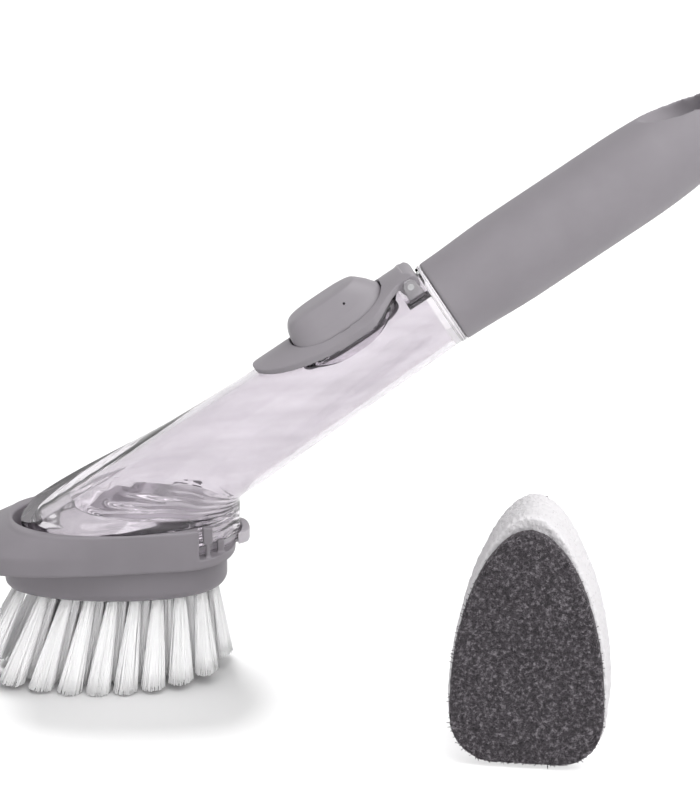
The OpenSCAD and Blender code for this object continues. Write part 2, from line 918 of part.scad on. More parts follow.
// Tuft places: an outer row, a middle row and the places on the centre line
function column(i) = first_tuft + i * tuft_pitch;
outer_places = concat(
  [
    for (i = [0 : outer_columns - 1], side = [-1, 1])
      [column(i), side * (block_half(column(i)) - tuft_margin)]
  ],
  [for (side = [-1, 1]) [rear_pair_x, side * rear_pair_y]]
);
middle_places = [
  for (i = [0 : middle_columns - 1], side = [-1, 1])
    let (x = column(i + middle_shift))
    [x, side * (block_half(x) - tuft_margin - row_gap)]
];
centre_places = [for (i = centre_columns) [column(i), 0]];

// The vector from a tuft's root to its tip, fanned out and trimmed to a curve
function tuft_reach(place) =
  let (
    across_x = fan_x * (place[0] - fan_pivot),
    across_y = fan_y * place[1],
    lean = norm([across_x, across_y]) / bristle_out,
    trim = pow(place[0] + across_x - trim_x, 2) / (2 * trim_r)
  )
  [across_x, across_y, -bristle_out + trim + tip_r * lean];

// Places the children at a tuft's root, with z along the tuft
module at_tuft(place) {
  reach = tuft_reach(place);
  translate([place[0], place[1], -block_h])
    rotate([0, acos(reach[2] / norm(reach)), atan2(reach[1], reach[0])])
      children();
}

module tufts(places) {
  shank = hole_depth - anchor_h - 0.1;
  color(white) head() for (place = places) at_tuft(place) {
    translate([0, 0, -shank]) cylinder(h = shank, r = root_r, $fn = 32);
    cylinder(h = norm(tuft_reach(place)), r1 = root_r, r2 = tip_r, $fn = 32);
  }
}

module block_form() {
  steps = 4;
  hull() {
    block_prism(0, -block_h + block_edge, 0);
    for (i = [1 : steps]) {
      drop = block_edge * sin(90 * i / steps);
      inset = block_edge * (1 - cos(90 * i / steps));
      block_prism(-inset, -block_h + block_edge - drop, -block_h + block_edge - drop + 0.1);
    }
  }
}

module brush_block() {
  color(block_grey) head() difference() {
    union() {
      block_form();
      locating_rim();
      front_hook();
    }
    for (place = concat(outer_places, middle_places, centre_places)) at_tuft(place)
      translate([0, 0, -hole_depth]) cylinder(h = hole_depth + 2, r = root_r + shaft_gap, $fn = 32);
    translate([base_x, 0, -far]) cylinder(h = 2 * far, r = channel_r);
    translate([base_x, 0, -seal_t]) cylinder(h = far, r = channel_r + seal_wall);
  }
}

module tufts_outer() {
  tufts(outer_places);
}

module tufts_middle() {
  tufts(middle_places);
}

module tufts_centre() {
  tufts(centre_places);
}

module tuft_anchors() {
  width = 2 * root_r - 0.1;
  color(steel) head() for (place = concat(outer_places, middle_places, centre_places))
    at_tuft(place) block(
      [-width / 2, -anchor_t / 2, -hole_depth], [width / 2, anchor_t / 2, anchor_h - hole_depth]
    );
}

module channel_seal() {
  color(silicone) head() translate([base_x, 0, -seal_t]) difference() {
    cylinder(h = seal_t, r = channel_r + seal_wall - glue_gap);
    translate([0, 0, -bite]) cylinder(h = far, r = nozzle_r + head_gap);
  }
}

// The spare sponge head, standing on its flat heel beside the wand

module standing() {
  middle = (foam_t + pad_t + sponge_plate_t) / 2;
  head() translate([spare_x, spare_y, tips_z]) rotate([0, 0, spare_turn])
    translate([0, 0, sponge_x + sponge_rear]) rotate([0, 90, 90])
      translate([0, 0, middle])
        children();
}

module sponge_prism(inset, low, high) {
  translate([sponge_x, 0, 0]) intersection() {
    prism(
      egg(
        sponge_front - inset, sponge_rear - inset + heel_round, sponge_w / 2 - inset,
        sponge_n_front, sponge_n_rear
      ),
      low, high
    );
    block([-far, -far, -far], [sponge_rear - inset, far, far]);
  }
}

module sponge_plate() {
  color(block_grey) standing() {
    block_prism(0, -sponge_plate_t, 0);
    locating_rim();
    front_hook();
  }
}

module sponge_foam() {
  color(white) standing()
    sponge_prism(0, -sponge_plate_t - foam_t, -sponge_plate_t);
}

module scour_pad() {
  low = -sponge_plate_t - foam_t - pad_t;
  color(pad_grey) standing() sponge_prism(pad_inset, low, low + pad_t);
}

reservoir_body();
grip_sleeve();
handle_core();
head_frame();
valve_plate();
plate_gasket();
outlet_valve();
valve_cap();
hinge_pin();
lid_leaf();
lid_tray();
port_gasket();
pump_bellows();
air_valve();
pump_button();
release_latch();
brush_block();
tufts_outer();
tufts_middle();
tufts_centre();
tuft_anchors();
channel_seal();
sponge_plate();
sponge_foam();
scour_pad();
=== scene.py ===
"""Looks of a dish wand: clear soap reservoir, pump lid, brush head, and a spare sponge head beside it."""
import math

import bmesh
import bpy
import numpy as np
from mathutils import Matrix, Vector


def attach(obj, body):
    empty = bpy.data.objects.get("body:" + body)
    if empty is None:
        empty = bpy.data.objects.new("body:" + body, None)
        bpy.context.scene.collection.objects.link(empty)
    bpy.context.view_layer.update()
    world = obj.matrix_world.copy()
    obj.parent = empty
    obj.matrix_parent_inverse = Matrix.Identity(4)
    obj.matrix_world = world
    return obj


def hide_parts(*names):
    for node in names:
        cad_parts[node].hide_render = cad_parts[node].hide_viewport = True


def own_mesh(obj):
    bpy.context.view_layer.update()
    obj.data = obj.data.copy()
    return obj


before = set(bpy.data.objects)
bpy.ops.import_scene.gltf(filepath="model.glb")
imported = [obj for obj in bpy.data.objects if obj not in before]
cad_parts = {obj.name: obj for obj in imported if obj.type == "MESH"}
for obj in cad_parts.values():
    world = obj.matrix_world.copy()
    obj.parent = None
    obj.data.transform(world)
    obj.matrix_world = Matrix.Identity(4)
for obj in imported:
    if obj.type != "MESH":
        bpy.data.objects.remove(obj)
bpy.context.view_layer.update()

# Driving sizes in millimetres, as in the part's own source
MM = 0.001
PITCH = math.radians(32.6)
AXIS_RISE = 9.0
HAND_U = 170.0
TUBE_END = 121.0
TUBE_R = 13.4
FLARE = math.tan(math.radians(1.7))
TUBE_WALL = 1.8
COLLAR_W = 2.0
COLLAR_LIP = 0.3
BASE_X = 5.0
BASE_HALF = (34.3, 21.0)
BASE_WALL = 2.1
TIP_SOLID = 4.0
SKIRT_Z = 2.3
LEDGE_Z = 14.5
ROOF_Z = 10.5
BUTTON_FRONT = 77.1
BUTTON_REAR = 109.8
BUTTON_HALF = 9.8
DECK_U = 113.3
DECK_H = 9.4335
HINGE_U = 117.3
HINGE_H = 13.1335
FILLER_R = 15.0335
LEAF_OUT = 17.2335
GRIP_LEN = 113.0
GRIP_R = 14.7
GRIP_NECK = 0.9
NECK_LEN = 27.0
TAIL_LEN = 50.0
HANG_R = 7.2
HANG_U = 221.5
FACE_U = TUBE_END + COLLAR_W
BLOCK_X = 8.0
BLOCK_FRONT = 42.804
BLOCK_REAR = 26.796
BLOCK_HALF = 20.5
BLOCK_H = 11.5
BRISTLE_OUT = 30.0
SPARE = (116.0, -78.0)
SPARE_TURN = math.radians(-17)

SIDES = 192
rng = np.random.default_rng(7)


def tube_at(u):
    return TUBE_R + (TUBE_END - u) * FLARE


def along(u, y, r):
    """Points in the wand's own frame: u up its axis, y across, r towards the lid."""
    u, y, r = np.broadcast_arrays(np.asarray(u, float), np.asarray(y, float), np.asarray(r, float))
    c, s = math.cos(PITCH), math.sin(PITCH)
    return np.stack([(u - HAND_U) * c - r * s, y, (u - HAND_U) * s + r * c], -1) * MM


def head(x, y, z):
    """Points in the level frame of the head, whose height 0 is the seat of the brush head."""
    x, y, z = np.broadcast_arrays(np.asarray(x, float), np.asarray(y, float), np.asarray(z, float))
    c, s = math.cos(PITCH), math.sin(PITCH)
    return np.stack([x - HAND_U * c, y, z - HAND_U * s - AXIS_RISE], -1) * MM


def standing(x, y, z):
    """Points of the spare head, which stands with its narrow end up and its pad to the front."""
    x, y, z = np.broadcast_arrays(np.asarray(x, float), np.asarray(y, float), np.asarray(z, float))
    across, deep, up = -y, z + SPONGE_MIDDLE, -x + SPONGE_X + SPONGE_REAR
    c, s = math.cos(SPARE_TURN), math.sin(SPARE_TURN)
    floor_z = -BLOCK_H - BRISTLE_OUT
    return head(SPARE[0] + across * c - deep * s, SPARE[1] + across * s + deep * c, up + floor_z)


SPONGE_L = 75.5
SPONGE_FRONT = SPONGE_L * 0.745
SPONGE_REAR = SPONGE_L - SPONGE_FRONT
SPONGE_HALF = 24.0
SPONGE_X = BLOCK_X - BLOCK_FRONT + SPONGE_FRONT - 4.4
FOAM_T = 20.0
PAD_T = 5.0
PLATE_T = 2.6
SPONGE_MIDDLE = (FOAM_T + PAD_T + PLATE_T) / 2
HEEL_ROUND = 1.0


def egg(front, rear, half, n_front, n_rear, count=SIDES):
    """A closed outline with its own length and fullness in front and at the rear."""
    t = 2 * math.pi * np.arange(count) / count
    c, s = np.cos(t), np.sin(t)
    length = np.where(c < 0, front, rear)
    n = np.where(c < 0, n_front, n_rear)
    return np.stack([
        length * np.sign(c) * np.abs(c) ** (2 / n), half * np.sign(s) * np.abs(s) ** (2 / n)
    ], -1)


def even(outline, count=SIDES):
    """The same closed outline with its points at equal distances, from the same start."""
    closed = np.vstack([outline, outline[:1]])
    step = np.linalg.norm(np.diff(closed, axis=0), axis=1)
    run = np.concatenate([[0], np.cumsum(step)])
    at = np.linspace(0, run[-1], count, endpoint=False)
    return np.stack([np.interp(at, run, closed[:, k]) for k in range(closed.shape[1])], -1)


# Mesh making

def grid_faces(rows, cols, close_rows=False):
    faces = []
    for i in range(rows if close_rows else rows - 1):
        low, high = i * cols, ((i + 1) % rows) * cols
        faces += [(low + j, low + (j + 1) % cols, high + (j + 1) % cols, high + j) for j in range(cols)]
    return faces


def loft(rings, close_rows=False):
    """Vertices and faces of a skin over closed rings, with flat ends unless the rows close."""
    rows, cols = len(rings), len(rings[0])
    faces = grid_faces(rows, cols, close_rows)
    if not close_rows:
        faces.append(tuple(reversed(range(cols))))
        faces.append(tuple((rows - 1) * cols + j for j in range(cols)))
    return np.vstack(rings), faces


def joined(*solids):
    verts, faces, start = [], [], 0
    for v, f in solids:
        verts.append(np.asarray(v))
        faces += [tuple(i + start for i in face) for face in f]
        start += len(v)
    return np.vstack(verts), faces


def box_solid(place, low, high):
    """A box between two corners, put in place by along, head or standing."""
    xs, ys, zs = zip(low, high)
    square = ((xs[0], ys[0]), (xs[1], ys[0]), (xs[1], ys[1]), (xs[0], ys[1]))
    corners = np.array([place(x, y, z) for z in zs for x, y in square])
    faces = [(3, 2, 1, 0), (4, 5, 6, 7), (0, 1, 5, 4), (1, 2, 6, 5), (2, 3, 7, 6), (3, 0, 4, 7)]
    return corners.reshape(-1, 3), faces


def round_solid(place, centre, radius, half, axis, sides=64):
    """A cylinder about a centre, along the frame's axis 0, 1 or 2."""
    t = 2 * math.pi * np.arange(sides) / sides
    rings = []
    for end in (-half, half):
        p = np.zeros((sides, 3)) + np.asarray(centre, float)
        p[:, (axis + 1) % 3] += radius * np.cos(t)
        p[:, (axis + 2) % 3] += radius * np.sin(t)
        p[:, axis] += end
        rings.append(place(p[:, 0], p[:, 1], p[:, 2]))
    return loft(rings)


def make(name, solid):
    mesh = bpy.data.meshes.new(name)
    mesh.from_pydata([tuple(v) for v in solid[0]], [], solid[1])
    mesh.validate()
    piece = bpy.data.objects.new(name, mesh)
    bpy.context.scene.collection.objects.link(piece)
    work = bmesh.new()
    work.from_mesh(mesh)
    bmesh.ops.recalc_face_normals(work, faces=work.faces)
    work.to_mesh(mesh)
    work.free()
    return piece


def settle(piece):
    """Applies the piece's modifiers to its mesh."""
    bpy.context.view_layer.update()
    done = bpy.data.meshes.new_from_object(piece.evaluated_get(bpy.context.evaluated_depsgraph_get()))
    old = piece.data
    piece.modifiers.clear()
    piece.data = done
    bpy.data.meshes.remove(old)
    return piece


def combine(piece, solid, operation="DIFFERENCE"):
    tool = solid if isinstance(solid, bpy.types.Object) else make("tool", solid)
    cut = piece.modifiers.new("cut", "BOOLEAN")
    cut.operation = operation
    cut.solver = "EXACT"
    cut.object = tool
    settle(piece)
    mesh = tool.data
    bpy.data.objects.remove(tool)
    bpy.data.meshes.remove(mesh)
    return piece


def soften(piece, voxel, rounds, factor=0.5):
    """Remeshes a piece finely and rounds its edges, as moulded plastic has them."""
    remesh = piece.modifiers.new("remesh", "REMESH")
    remesh.mode = "VOXEL"
    remesh.voxel_size = voxel * MM
    remesh.use_smooth_shade = True
    smooth = piece.modifiers.new("smooth", "SMOOTH")
    smooth.factor = factor
    smooth.iterations = rounds
    return settle(piece)


def shade(piece, angle=35):
    piece.data.shade_smooth()
    piece.data.set_sharp_from_angle(angle=math.radians(angle))
    return piece


def dress(piece, body, material, stands_for=()):
    piece.data.materials.clear()
    piece.data.materials.append(material)
    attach(piece, body)
    if stands_for:
        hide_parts(*stands_for)
    return piece


# Materials

def linear(r, g, b):
    """A colour as seen on a screen, 0 to 255, as the shader wants it."""
    return tuple((c / 255 / 12.92) if c <= 10 else ((c / 255 + 0.055) / 1.055) ** 2.4 for c in (r, g, b)) + (1.0,)


class Nodes:
    """A material's node tree with short calls to add to it."""

    def __init__(self, name):
        self.material = bpy.data.materials.new(name)
        self.material.use_nodes = True
        self.tree = self.material.node_tree
        self.shader = self.tree.nodes["Principled BSDF"]
        self.place = self.tree.nodes.new("ShaderNodeTexCoord").outputs["Object"]

    def link(self, a, b):
        self.tree.links.new(a, b)

    def noise(self, size, detail=4.0, rough=0.55, stretch=None):
        node = self.tree.nodes.new("ShaderNodeTexNoise")
        node.inputs["Scale"].default_value = 1 / (size * MM)
        node.inputs["Detail"].default_value = detail
        node.inputs["Roughness"].default_value = rough
        source = self.place
        if stretch:
            mapping = self.tree.nodes.new("ShaderNodeMapping")
            mapping.inputs["Rotation"].default_value = (0, PITCH, 0)
            mapping.inputs["Scale"].default_value = stretch
            self.link(source, mapping.inputs["Vector"])
            source = mapping.outputs["Vector"]
        self.link(source, node.inputs["Vector"])
        return node.outputs["Fac"]

    def cells(self, size):
        node = self.tree.nodes.new("ShaderNodeTexVoronoi")
        node.inputs["Scale"].default_value = 1 / (size * MM)
        self.link(self.place, node.inputs["Vector"])
        return node.outputs["Distance"]

    def ramp(self, source, stops):
        node = self.tree.nodes.new("ShaderNodeValToRGB")
        while len(node.color_ramp.elements) < len(stops):
            node.color_ramp.elements.new(0.5)
        for element, (at, colour) in zip(node.color_ramp.elements, stops):
            element.position = at
            element.color = colour
        self.link(source, node.inputs["Fac"])
        return node.outputs["Color"]

    def span(self, source, low, high):
        node = self.tree.nodes.new("ShaderNodeMapRange")
        node.inputs["To Min"].default_value = low
        node.inputs["To Max"].default_value = high
        self.link(source, node.inputs["Value"])
        return node.outputs["Result"]

    def bump(self, source, height, strength=1.0, below=None):
        node = self.tree.nodes.new("ShaderNodeBump")
        node.inputs["Distance"].default_value = height * MM
        node.inputs["Strength"].default_value = strength
        self.link(source, node.inputs["Height"])
        if below:
            self.link(below, node.inputs["Normal"])
        return node.outputs["Normal"]


def scaled(colour, factor):
    return tuple(min(1.0, c * factor) for c in colour[:3]) + (1.0,)


def moulded(name, colour, rough=(0.42, 0.52), grain=0.35, height=0.012, spread=0.04):
    """Satin moulded plastic: fine spark grain, slow colour drift and uneven gloss."""
    n = Nodes(name)
    tones = [(0.3, scaled(colour, 1 - spread)), (0.7, scaled(colour, 1 + spread))]
    n.link(n.ramp(n.noise(14, 3), tones), n.shader.inputs["Base Color"])
    n.link(n.span(n.noise(5, 5), *rough), n.shader.inputs["Roughness"])
    n.link(n.bump(n.noise(grain, 2), height), n.shader.inputs["Normal"])
    return n.material


# Lower than that of real acrylic, for the thin light edges of the photograph
CLEAR_IOR = 1.38


def clear_plastic(name, colour, through=1.0, rough=0.03, rim=0.6, mirror=0.0):
    """Clear moulded plastic: soft lighter and darker streaks along the wand, and a darker colour where it is seen edge
    on, partly tint through the longer path and partly painted shade.
    """
    n = Nodes(name)
    n.shader.inputs["Metallic"].default_value = mirror
    n.shader.inputs["Transmission Weight"].default_value = through
    n.shader.inputs["IOR"].default_value = CLEAR_IOR
    streak_noise = n.noise(7, 3, 0.5, stretch=(0.045, 1.3, 1.3))
    streaks = n.ramp(streak_noise, [(0.36, scaled(colour, 0.93)), (0.5, colour), (0.64, scaled(colour, 1.045))])
    # Partly tint and partly painted shade: the colour darkens where the surface is seen edge on, down to rim
    edge = n.tree.nodes.new("ShaderNodeLayerWeight")
    edge.inputs["Blend"].default_value = 0.35
    edge_tones = [(0.0, (1, 1, 1, 1)), (0.72, (0.97, 0.97, 0.97, 1)), (1.0, (rim, rim * 0.985, rim, 1))]
    tint_and_edge_shade = n.ramp(edge.outputs["Facing"], edge_tones)
    both = n.tree.nodes.new("ShaderNodeMix")
    both.data_type = "RGBA"
    both.blend_type = "MULTIPLY"
    both.inputs[0].default_value = 1.0
    n.link(streaks, both.inputs[6])
    n.link(tint_and_edge_shade, both.inputs[7])
    n.link(both.outputs[2], n.shader.inputs["Base Color"])
    n.link(n.span(n.noise(6, 3), rough * 0.7, rough * 1.6), n.shader.inputs["Roughness"])
    n.link(n.bump(streak_noise, 0.1, 0.5), n.shader.inputs["Normal"])
    return n.material


def silicone(name, colour):
    n = Nodes(name)
    tones = [(0.35, scaled(colour, 0.94)), (0.65, scaled(colour, 1.06))]
    n.link(n.ramp(n.noise(3, 3), tones), n.shader.inputs["Base Color"])
    n.link(n.span(n.noise(1.5, 4), 0.5, 0.65), n.shader.inputs["Roughness"])
    n.link(n.bump(n.noise(0.4, 2), 0.01), n.shader.inputs["Normal"])
    n.shader.inputs["Subsurface Weight"].default_value = 0.05
    n.shader.inputs["Subsurface Radius"].default_value = (0.001, 0.001, 0.001)
    return n.material


def drawn_steel(name):
    n = Nodes(name)
    n.shader.inputs["Metallic"].default_value = 1.0
    colour = (0.45, 0.45, 0.46, 1)
    tones = [(0.3, scaled(colour, 0.85)), (0.7, scaled(colour, 1.1))]
    n.link(n.ramp(n.noise(0.5, 3), tones), n.shader.inputs["Base Color"])
    n.link(n.span(n.noise(0.3, 4), 0.2, 0.38), n.shader.inputs["Roughness"])
    n.link(n.bump(n.noise(0.2, 2), 0.004), n.shader.inputs["Normal"])
    return n.material


def nylon(name):
    """White filaments that let a little light through."""
    n = Nodes(name)
    tones = [(0.3, linear(252, 250, 253)), (0.7, linear(255, 254, 255))]
    n.link(n.ramp(n.noise(2.2, 4), tones), n.shader.inputs["Base Color"])
    n.link(n.span(n.noise(1.0, 3), 0.28, 0.42), n.shader.inputs["Roughness"])
    n.link(n.bump(n.noise(0.5, 2), 0.01), n.shader.inputs["Normal"])
    n.shader.inputs["Subsurface Weight"].default_value = 1.0
    n.shader.inputs["Subsurface Radius"].default_value = (0.006, 0.006, 0.006)
    return n.material


def open_foam(name):
    """White open cell foam: pores of two sizes, with painted shade in the large ones."""
    n = Nodes(name)
    large, small = n.cells(1.5), n.cells(0.7)
    # Painted shade: the colour darkens towards the middle of each large pore, where the bump sinks
    tones = [(0.0, linear(214, 210, 213)), (0.25, linear(249, 246, 249))]
    n.link(n.ramp(large, tones), n.shader.inputs["Base Color"])
    n.link(n.span(n.noise(2, 4), 0.8, 0.95), n.shader.inputs["Roughness"])
    n.link(n.bump(small, 0.25, 0.6, n.bump(large, 0.4, 0.7)), n.shader.inputs["Normal"])
    n.shader.inputs["Subsurface Weight"].default_value = 0.2
    n.shader.inputs["Subsurface Radius"].default_value = (0.002, 0.002, 0.002)
    n.shader.inputs["Specular IOR Level"].default_value = 0.2
    return n.material


def scour_fibre(name, dark, light):
    n = Nodes(name)
    fine = n.noise(1.2, 8, 0.8)
    # Dark and light fibres, partly real and partly painted shade: the noise that sinks the relief also darkens it there
    n.link(n.ramp(fine, [(0.4, dark), (0.52, scaled(dark, 2.4)), (0.64, light)]), n.shader.inputs["Base Color"])
    n.link(n.span(n.noise(0.8, 4), 0.55, 0.85), n.shader.inputs["Roughness"])
    n.link(n.bump(fine, 0.35, 0.9), n.shader.inputs["Normal"])
    n.shader.inputs["Specular IOR Level"].default_value = 0.35
    return n.material


# rim sets how dark each clear finish gets where it is seen edge on: partly tint, partly painted shade
clear = clear_plastic("clear_shell", (0.765, 0.735, 0.77, 1), rim=0.85)
wavy = clear_plastic("clear_waves", (1.0, 1.0, 1.0, 1), 0.5, 0.1, 1.0, mirror=0.8)
clear_trim = clear_plastic("clear_trim", (0.82, 0.8, 0.825, 1), 0.7, 0.05)
grip_skin = moulded("soft_grip", linear(157, 152, 158), (0.5, 0.6), 0.3, 0.014)
frame_plastic = moulded("frame_plastic", linear(143, 138, 144))
lid_plastic = moulded("lid_plastic", linear(158, 153, 159))
button_plastic = moulded("button_plastic", linear(161, 156, 162), (0.4, 0.48))
tab_plastic = moulded("tab_plastic", linear(212, 207, 213))
block_plastic = moulded("block_plastic", linear(139, 134, 140))
core_plastic = moulded("core_plastic", linear(138, 134, 139))
pale_plastic = moulded("pale_plastic", linear(232, 228, 233), (0.3, 0.4))
dark_silicone = silicone("dark_silicone", linear(92, 90, 93))
pale_silicone = silicone("pale_silicone", linear(226, 224, 227))
steel = drawn_steel("steel")
bristle = nylon("bristle")
foam_white = open_foam("foam")
pad_grey = scour_fibre("scour_fibre", linear(46, 43, 46), linear(176, 170, 176))
fibre_grey = scour_fibre("fibre_strands", linear(70, 66, 70), linear(190, 184, 190))

# The CAD nodes that stay get their own finishes
for node, material in {
    "handle_core": core_plastic, "valve_plate": pale_plastic, "valve_cap": pale_plastic, "lid_tray": core_plastic,
    "plate_gasket": pale_silicone, "port_gasket": dark_silicone,
    "air_valve": dark_silicone, "channel_seal": dark_silicone, "outlet_valve": pale_silicone,
    "hinge_pin": steel, "tuft_anchors": steel,
}.items():
    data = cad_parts[node].data
    data.materials.clear()
    data.materials.append(material)


# The clear reservoir: an oval base that flows into the tapered tube

BLEND_U = 45.0
t = 2 * math.pi * np.arange(SIDES) / SIDES
cos_t, sin_t = np.cos(t), np.sin(t)


def base_ring(inset, tip, z):
    """An oval of the base, whose height may change around it."""
    half_l = BASE_HALF[0] - inset
    x = BASE_X + np.where(cos_t < 0, half_l - tip, half_l) * cos_t
    return np.stack([x, (BASE_HALF[1] - inset) * sin_t, np.broadcast_to(z, t.shape)], -1)


def tube_ring(u, r):
    """A circle of the tube in the head's frame; its underside is the base's rear."""
    c, s = math.cos(PITCH), math.sin(PITCH)
    out = -r * cos_t
    return np.stack([u * c - out * s, r * sin_t, AXIS_RISE + u * s + out * c], -1)


def flowing(start, end, end_way, rise, steps):
    """Rings between the base's edge and the tube; each line leaves the base upwards and joins the tube's slope."""
    front = (1 - cos_t) / 2
    gap = np.linalg.norm(end - start, axis=1)[:, None]
    up = np.array([0, 0, 1.0])
    way = up * (1 - front[:, None] ** 0.7) * rise + end_way * (1 - rise * (1 - front[:, None] ** 0.7))
    way /= np.linalg.norm(way, axis=1)[:, None]
    rings = []
    for s in np.linspace(0, 1, steps + 1)[1:]:
        h00, h10 = 2 * s**3 - 3 * s**2 + 1, s**3 - 2 * s**2 + s
        h01, h11 = -2 * s**3 + 3 * s**2, s**3 - s**2
        rings.append(h00 * start + h10 * way * gap + h01 * end + h11 * end_way * gap)
    return rings


def generator(r_low, r_high, u_low, u_high):
    """The direction of the tube's lines from one circle to the next."""
    way = tube_ring(u_high, r_high) - tube_ring(u_low, r_low)
    return way / np.linalg.norm(way, axis=1)[:, None]


def top_line(x, r_drop):
    """Height of the tube's upper line over the base."""
    c, s = math.cos(PITCH), math.sin(PITCH)
    r = tube_at(0) - r_drop
    slope = math.tan(PITCH - math.atan(FLARE))
    return AXIS_RISE + r * c + (x + r * s) * slope


def shell_side(inset, tip, foot, ledge, drop, wall_steps=4, flow_steps=26):
    """Rings of one side of the wall, from the foot to the collar."""
    plan = base_ring(inset, tip, 0)
    edge = np.minimum(ledge, top_line(plan[:, 0], drop))
    rings = [base_ring(inset, tip, foot + (edge - foot) * k) for k in np.linspace(0.04, 0.93, wall_steps)]
    start = base_ring(inset + 0.15, tip, edge)
    end = tube_ring(BLEND_U, tube_at(BLEND_U) - drop)
    way = generator(tube_at(BLEND_U) - drop, tube_at(BLEND_U + 9) - drop, BLEND_U, BLEND_U + 9)
    rings.append(start)
    rings += flowing(start, end, way, 0.75, flow_steps)
    return rings


def rippled(rings, height, pitch):
    """The rings with ridges that wander around the wall and fade out towards the tube."""
    wander = 1.3 * np.sin(2 * t + 0.7) + 0.9 * np.sin(5 * t) + 0.5 * np.sin(11 * t + 2)
    out = []
    for i, ring in enumerate(rings):
        fade = max(0.0, 1 - (i / len(rings)) ** 1.5)
        depth = height * fade * (0.5 + 0.5 * np.sin(2 * math.pi * i / pitch + wander))
        middle = ring.mean(0)
        way = (ring - middle) * np.array([1, 1, 0.35])
        way /= np.linalg.norm(way, axis=1)[:, None]
        out.append(ring - way * depth[:, None])
    return out


def to_head(rings):
    return [head(p[:, 0], p[:, 1], p[:, 2]) for p in rings]


outer = [base_ring(0.35, 0, SKIRT_Z)] + shell_side(0, 0, SKIRT_Z, LEDGE_Z, 0)
outer += [tube_ring(u, tube_at(u)) for u in np.linspace(BLEND_U, TUBE_END, 40)[1:]]
# Rings of the inside's wall and shoulder, how many of them are rippled, and the ripples' height and pitch in rings
INNER_WALL_RINGS, INNER_FLOW_RINGS, RIPPLED_RINGS = 14, 64, 52
RIPPLE_H, RIPPLE_PITCH = 0.6, 6.0
inner_side = shell_side(BASE_WALL, TIP_SOLID, SKIRT_Z, ROOF_Z, TUBE_WALL, INNER_WALL_RINGS, INNER_FLOW_RINGS)
inner = [base_ring(BASE_WALL, TIP_SOLID, SKIRT_Z)]
inner += rippled(inner_side[:RIPPLED_RINGS], RIPPLE_H, RIPPLE_PITCH) + inner_side[RIPPLED_RINGS:]
inner += [tube_ring(u, tube_at(u) - TUBE_WALL) for u in np.linspace(BLEND_U, TUBE_END - 2, 38)[1:]]
count = len(outer) + len(inner)
rings = to_head(outer + inner[::-1])
verts = np.vstack(rings)
faces = []
for i in range(count - 1):
    if i == len(outer) - 1:
        continue
    faces += [(i * SIDES + j, i * SIDES + (j + 1) % SIDES, (i + 1) * SIDES + (j + 1) % SIDES, (i + 1) * SIDES + j)
              for j in range(SIDES)]
faces += [((count - 1) * SIDES + j, (count - 1) * SIDES + (j + 1) % SIDES, (j + 1) % SIDES, j) for j in range(SIDES)]
faces.append(tuple((len(outer) - 1) * SIDES + j for j in range(SIDES)))
faces.append(tuple(len(outer) * SIDES + j for j in range(SIDES)))
shell = make("reservoir_shell", (verts, faces))


def wall_waves(share):
    """Uneven ridges of the thick wall inside the base, which bend what is seen through it."""
    ridges = np.abs(np.sin(3.6 * math.pi * share + 0.5 * np.sin(3 * t) + 0.3 * np.sin(7 * t)))
    return 1.2 + 1.0 * ridges + 0.3 * np.sin(3 * t + 5 * share) + 0.22 * np.sin(8 * t - 7 * share + 1)


def wavy_side(depths):
    """Rings just inside the base's cavity and on over its shoulder, each set in by its depth."""
    foot, rings = SKIRT_Z + 2.1, []
    edge = np.minimum(ROOF_Z - 0.2, top_line(base_ring(BASE_WALL, TIP_SOLID, 0)[:, 0], TUBE_WALL + 0.3))
    for share, depth in zip(np.linspace(0, 1, len(depths)), depths):
        rings.append(base_ring(BASE_WALL + depth, TIP_SOLID + 0.1, foot + (edge - foot) * share))
    end = tube_ring(BLEND_U, tube_at(BLEND_U) - TUBE_WALL - 0.6)
    way = generator(tube_at(BLEND_U) - TUBE_WALL, tube_at(BLEND_U + 9) - TUBE_WALL, BLEND_U, BLEND_U + 9)
    return rings + flowing(rings[-1], end, way, 0.75, 26)[:4]


WAVE_STEPS = 40
outer_waves = wavy_side([np.maximum(0.15, wall_waves(share) - 0.8) for share in np.linspace(0, 1, WAVE_STEPS)])
inner_waves = wavy_side([wall_waves(share) for share in np.linspace(0, 1, WAVE_STEPS)])
waves = make("base_wall_waves", loft(to_head(outer_waves + inner_waves[::-1]), close_rows=True))
dress(shade(waves, 40), "wand", wavy)


def oval_solid(front, rear, half, low, high, count=96):
    """A prism of the lid's oval, in the wand's frame."""
    plan = egg((rear - front) / 2, (rear - front) / 2, half, 2.6, 2.6, count)
    return loft([along(plan[:, 0] + (front + rear) / 2, plan[:, 1], z) for z in (low, high)])


OPEN_FRONT, OPEN_REAR, OPEN_HALF = 74.9, 111.4, 11.4
combine(shell, oval_solid(OPEN_FRONT, OPEN_REAR, OPEN_HALF, 3, 40))
combine(shell, box_solid(along, (DECK_U, -20, DECK_H), (TUBE_END + 0.5, 20, 40)))
deck_floor = round_solid(along, ((DECK_U + TUBE_END) / 2, 0, 0), tube_at(DECK_U) - 0.2, (TUBE_END - DECK_U) / 2, 0)
deck = make("deck", deck_floor)
combine(deck, box_solid(along, (0, -20, DECK_H - TUBE_WALL), (HAND_U, 20, DECK_H)), "INTERSECT")
shade(deck)
dress(deck, "wand", clear)
shade(shell, 32)
dress(shell, "wand", clear, ["reservoir_body"])


def lathe(name, profile, sides=SIDES):
    """A solid of revolution about the wand's axis, from points (u, radius)."""
    turn = 2 * math.pi * np.arange(sides) / sides
    return make(name, loft([along(u, r * np.sin(turn), r * np.cos(turn)) for u, r in profile]))


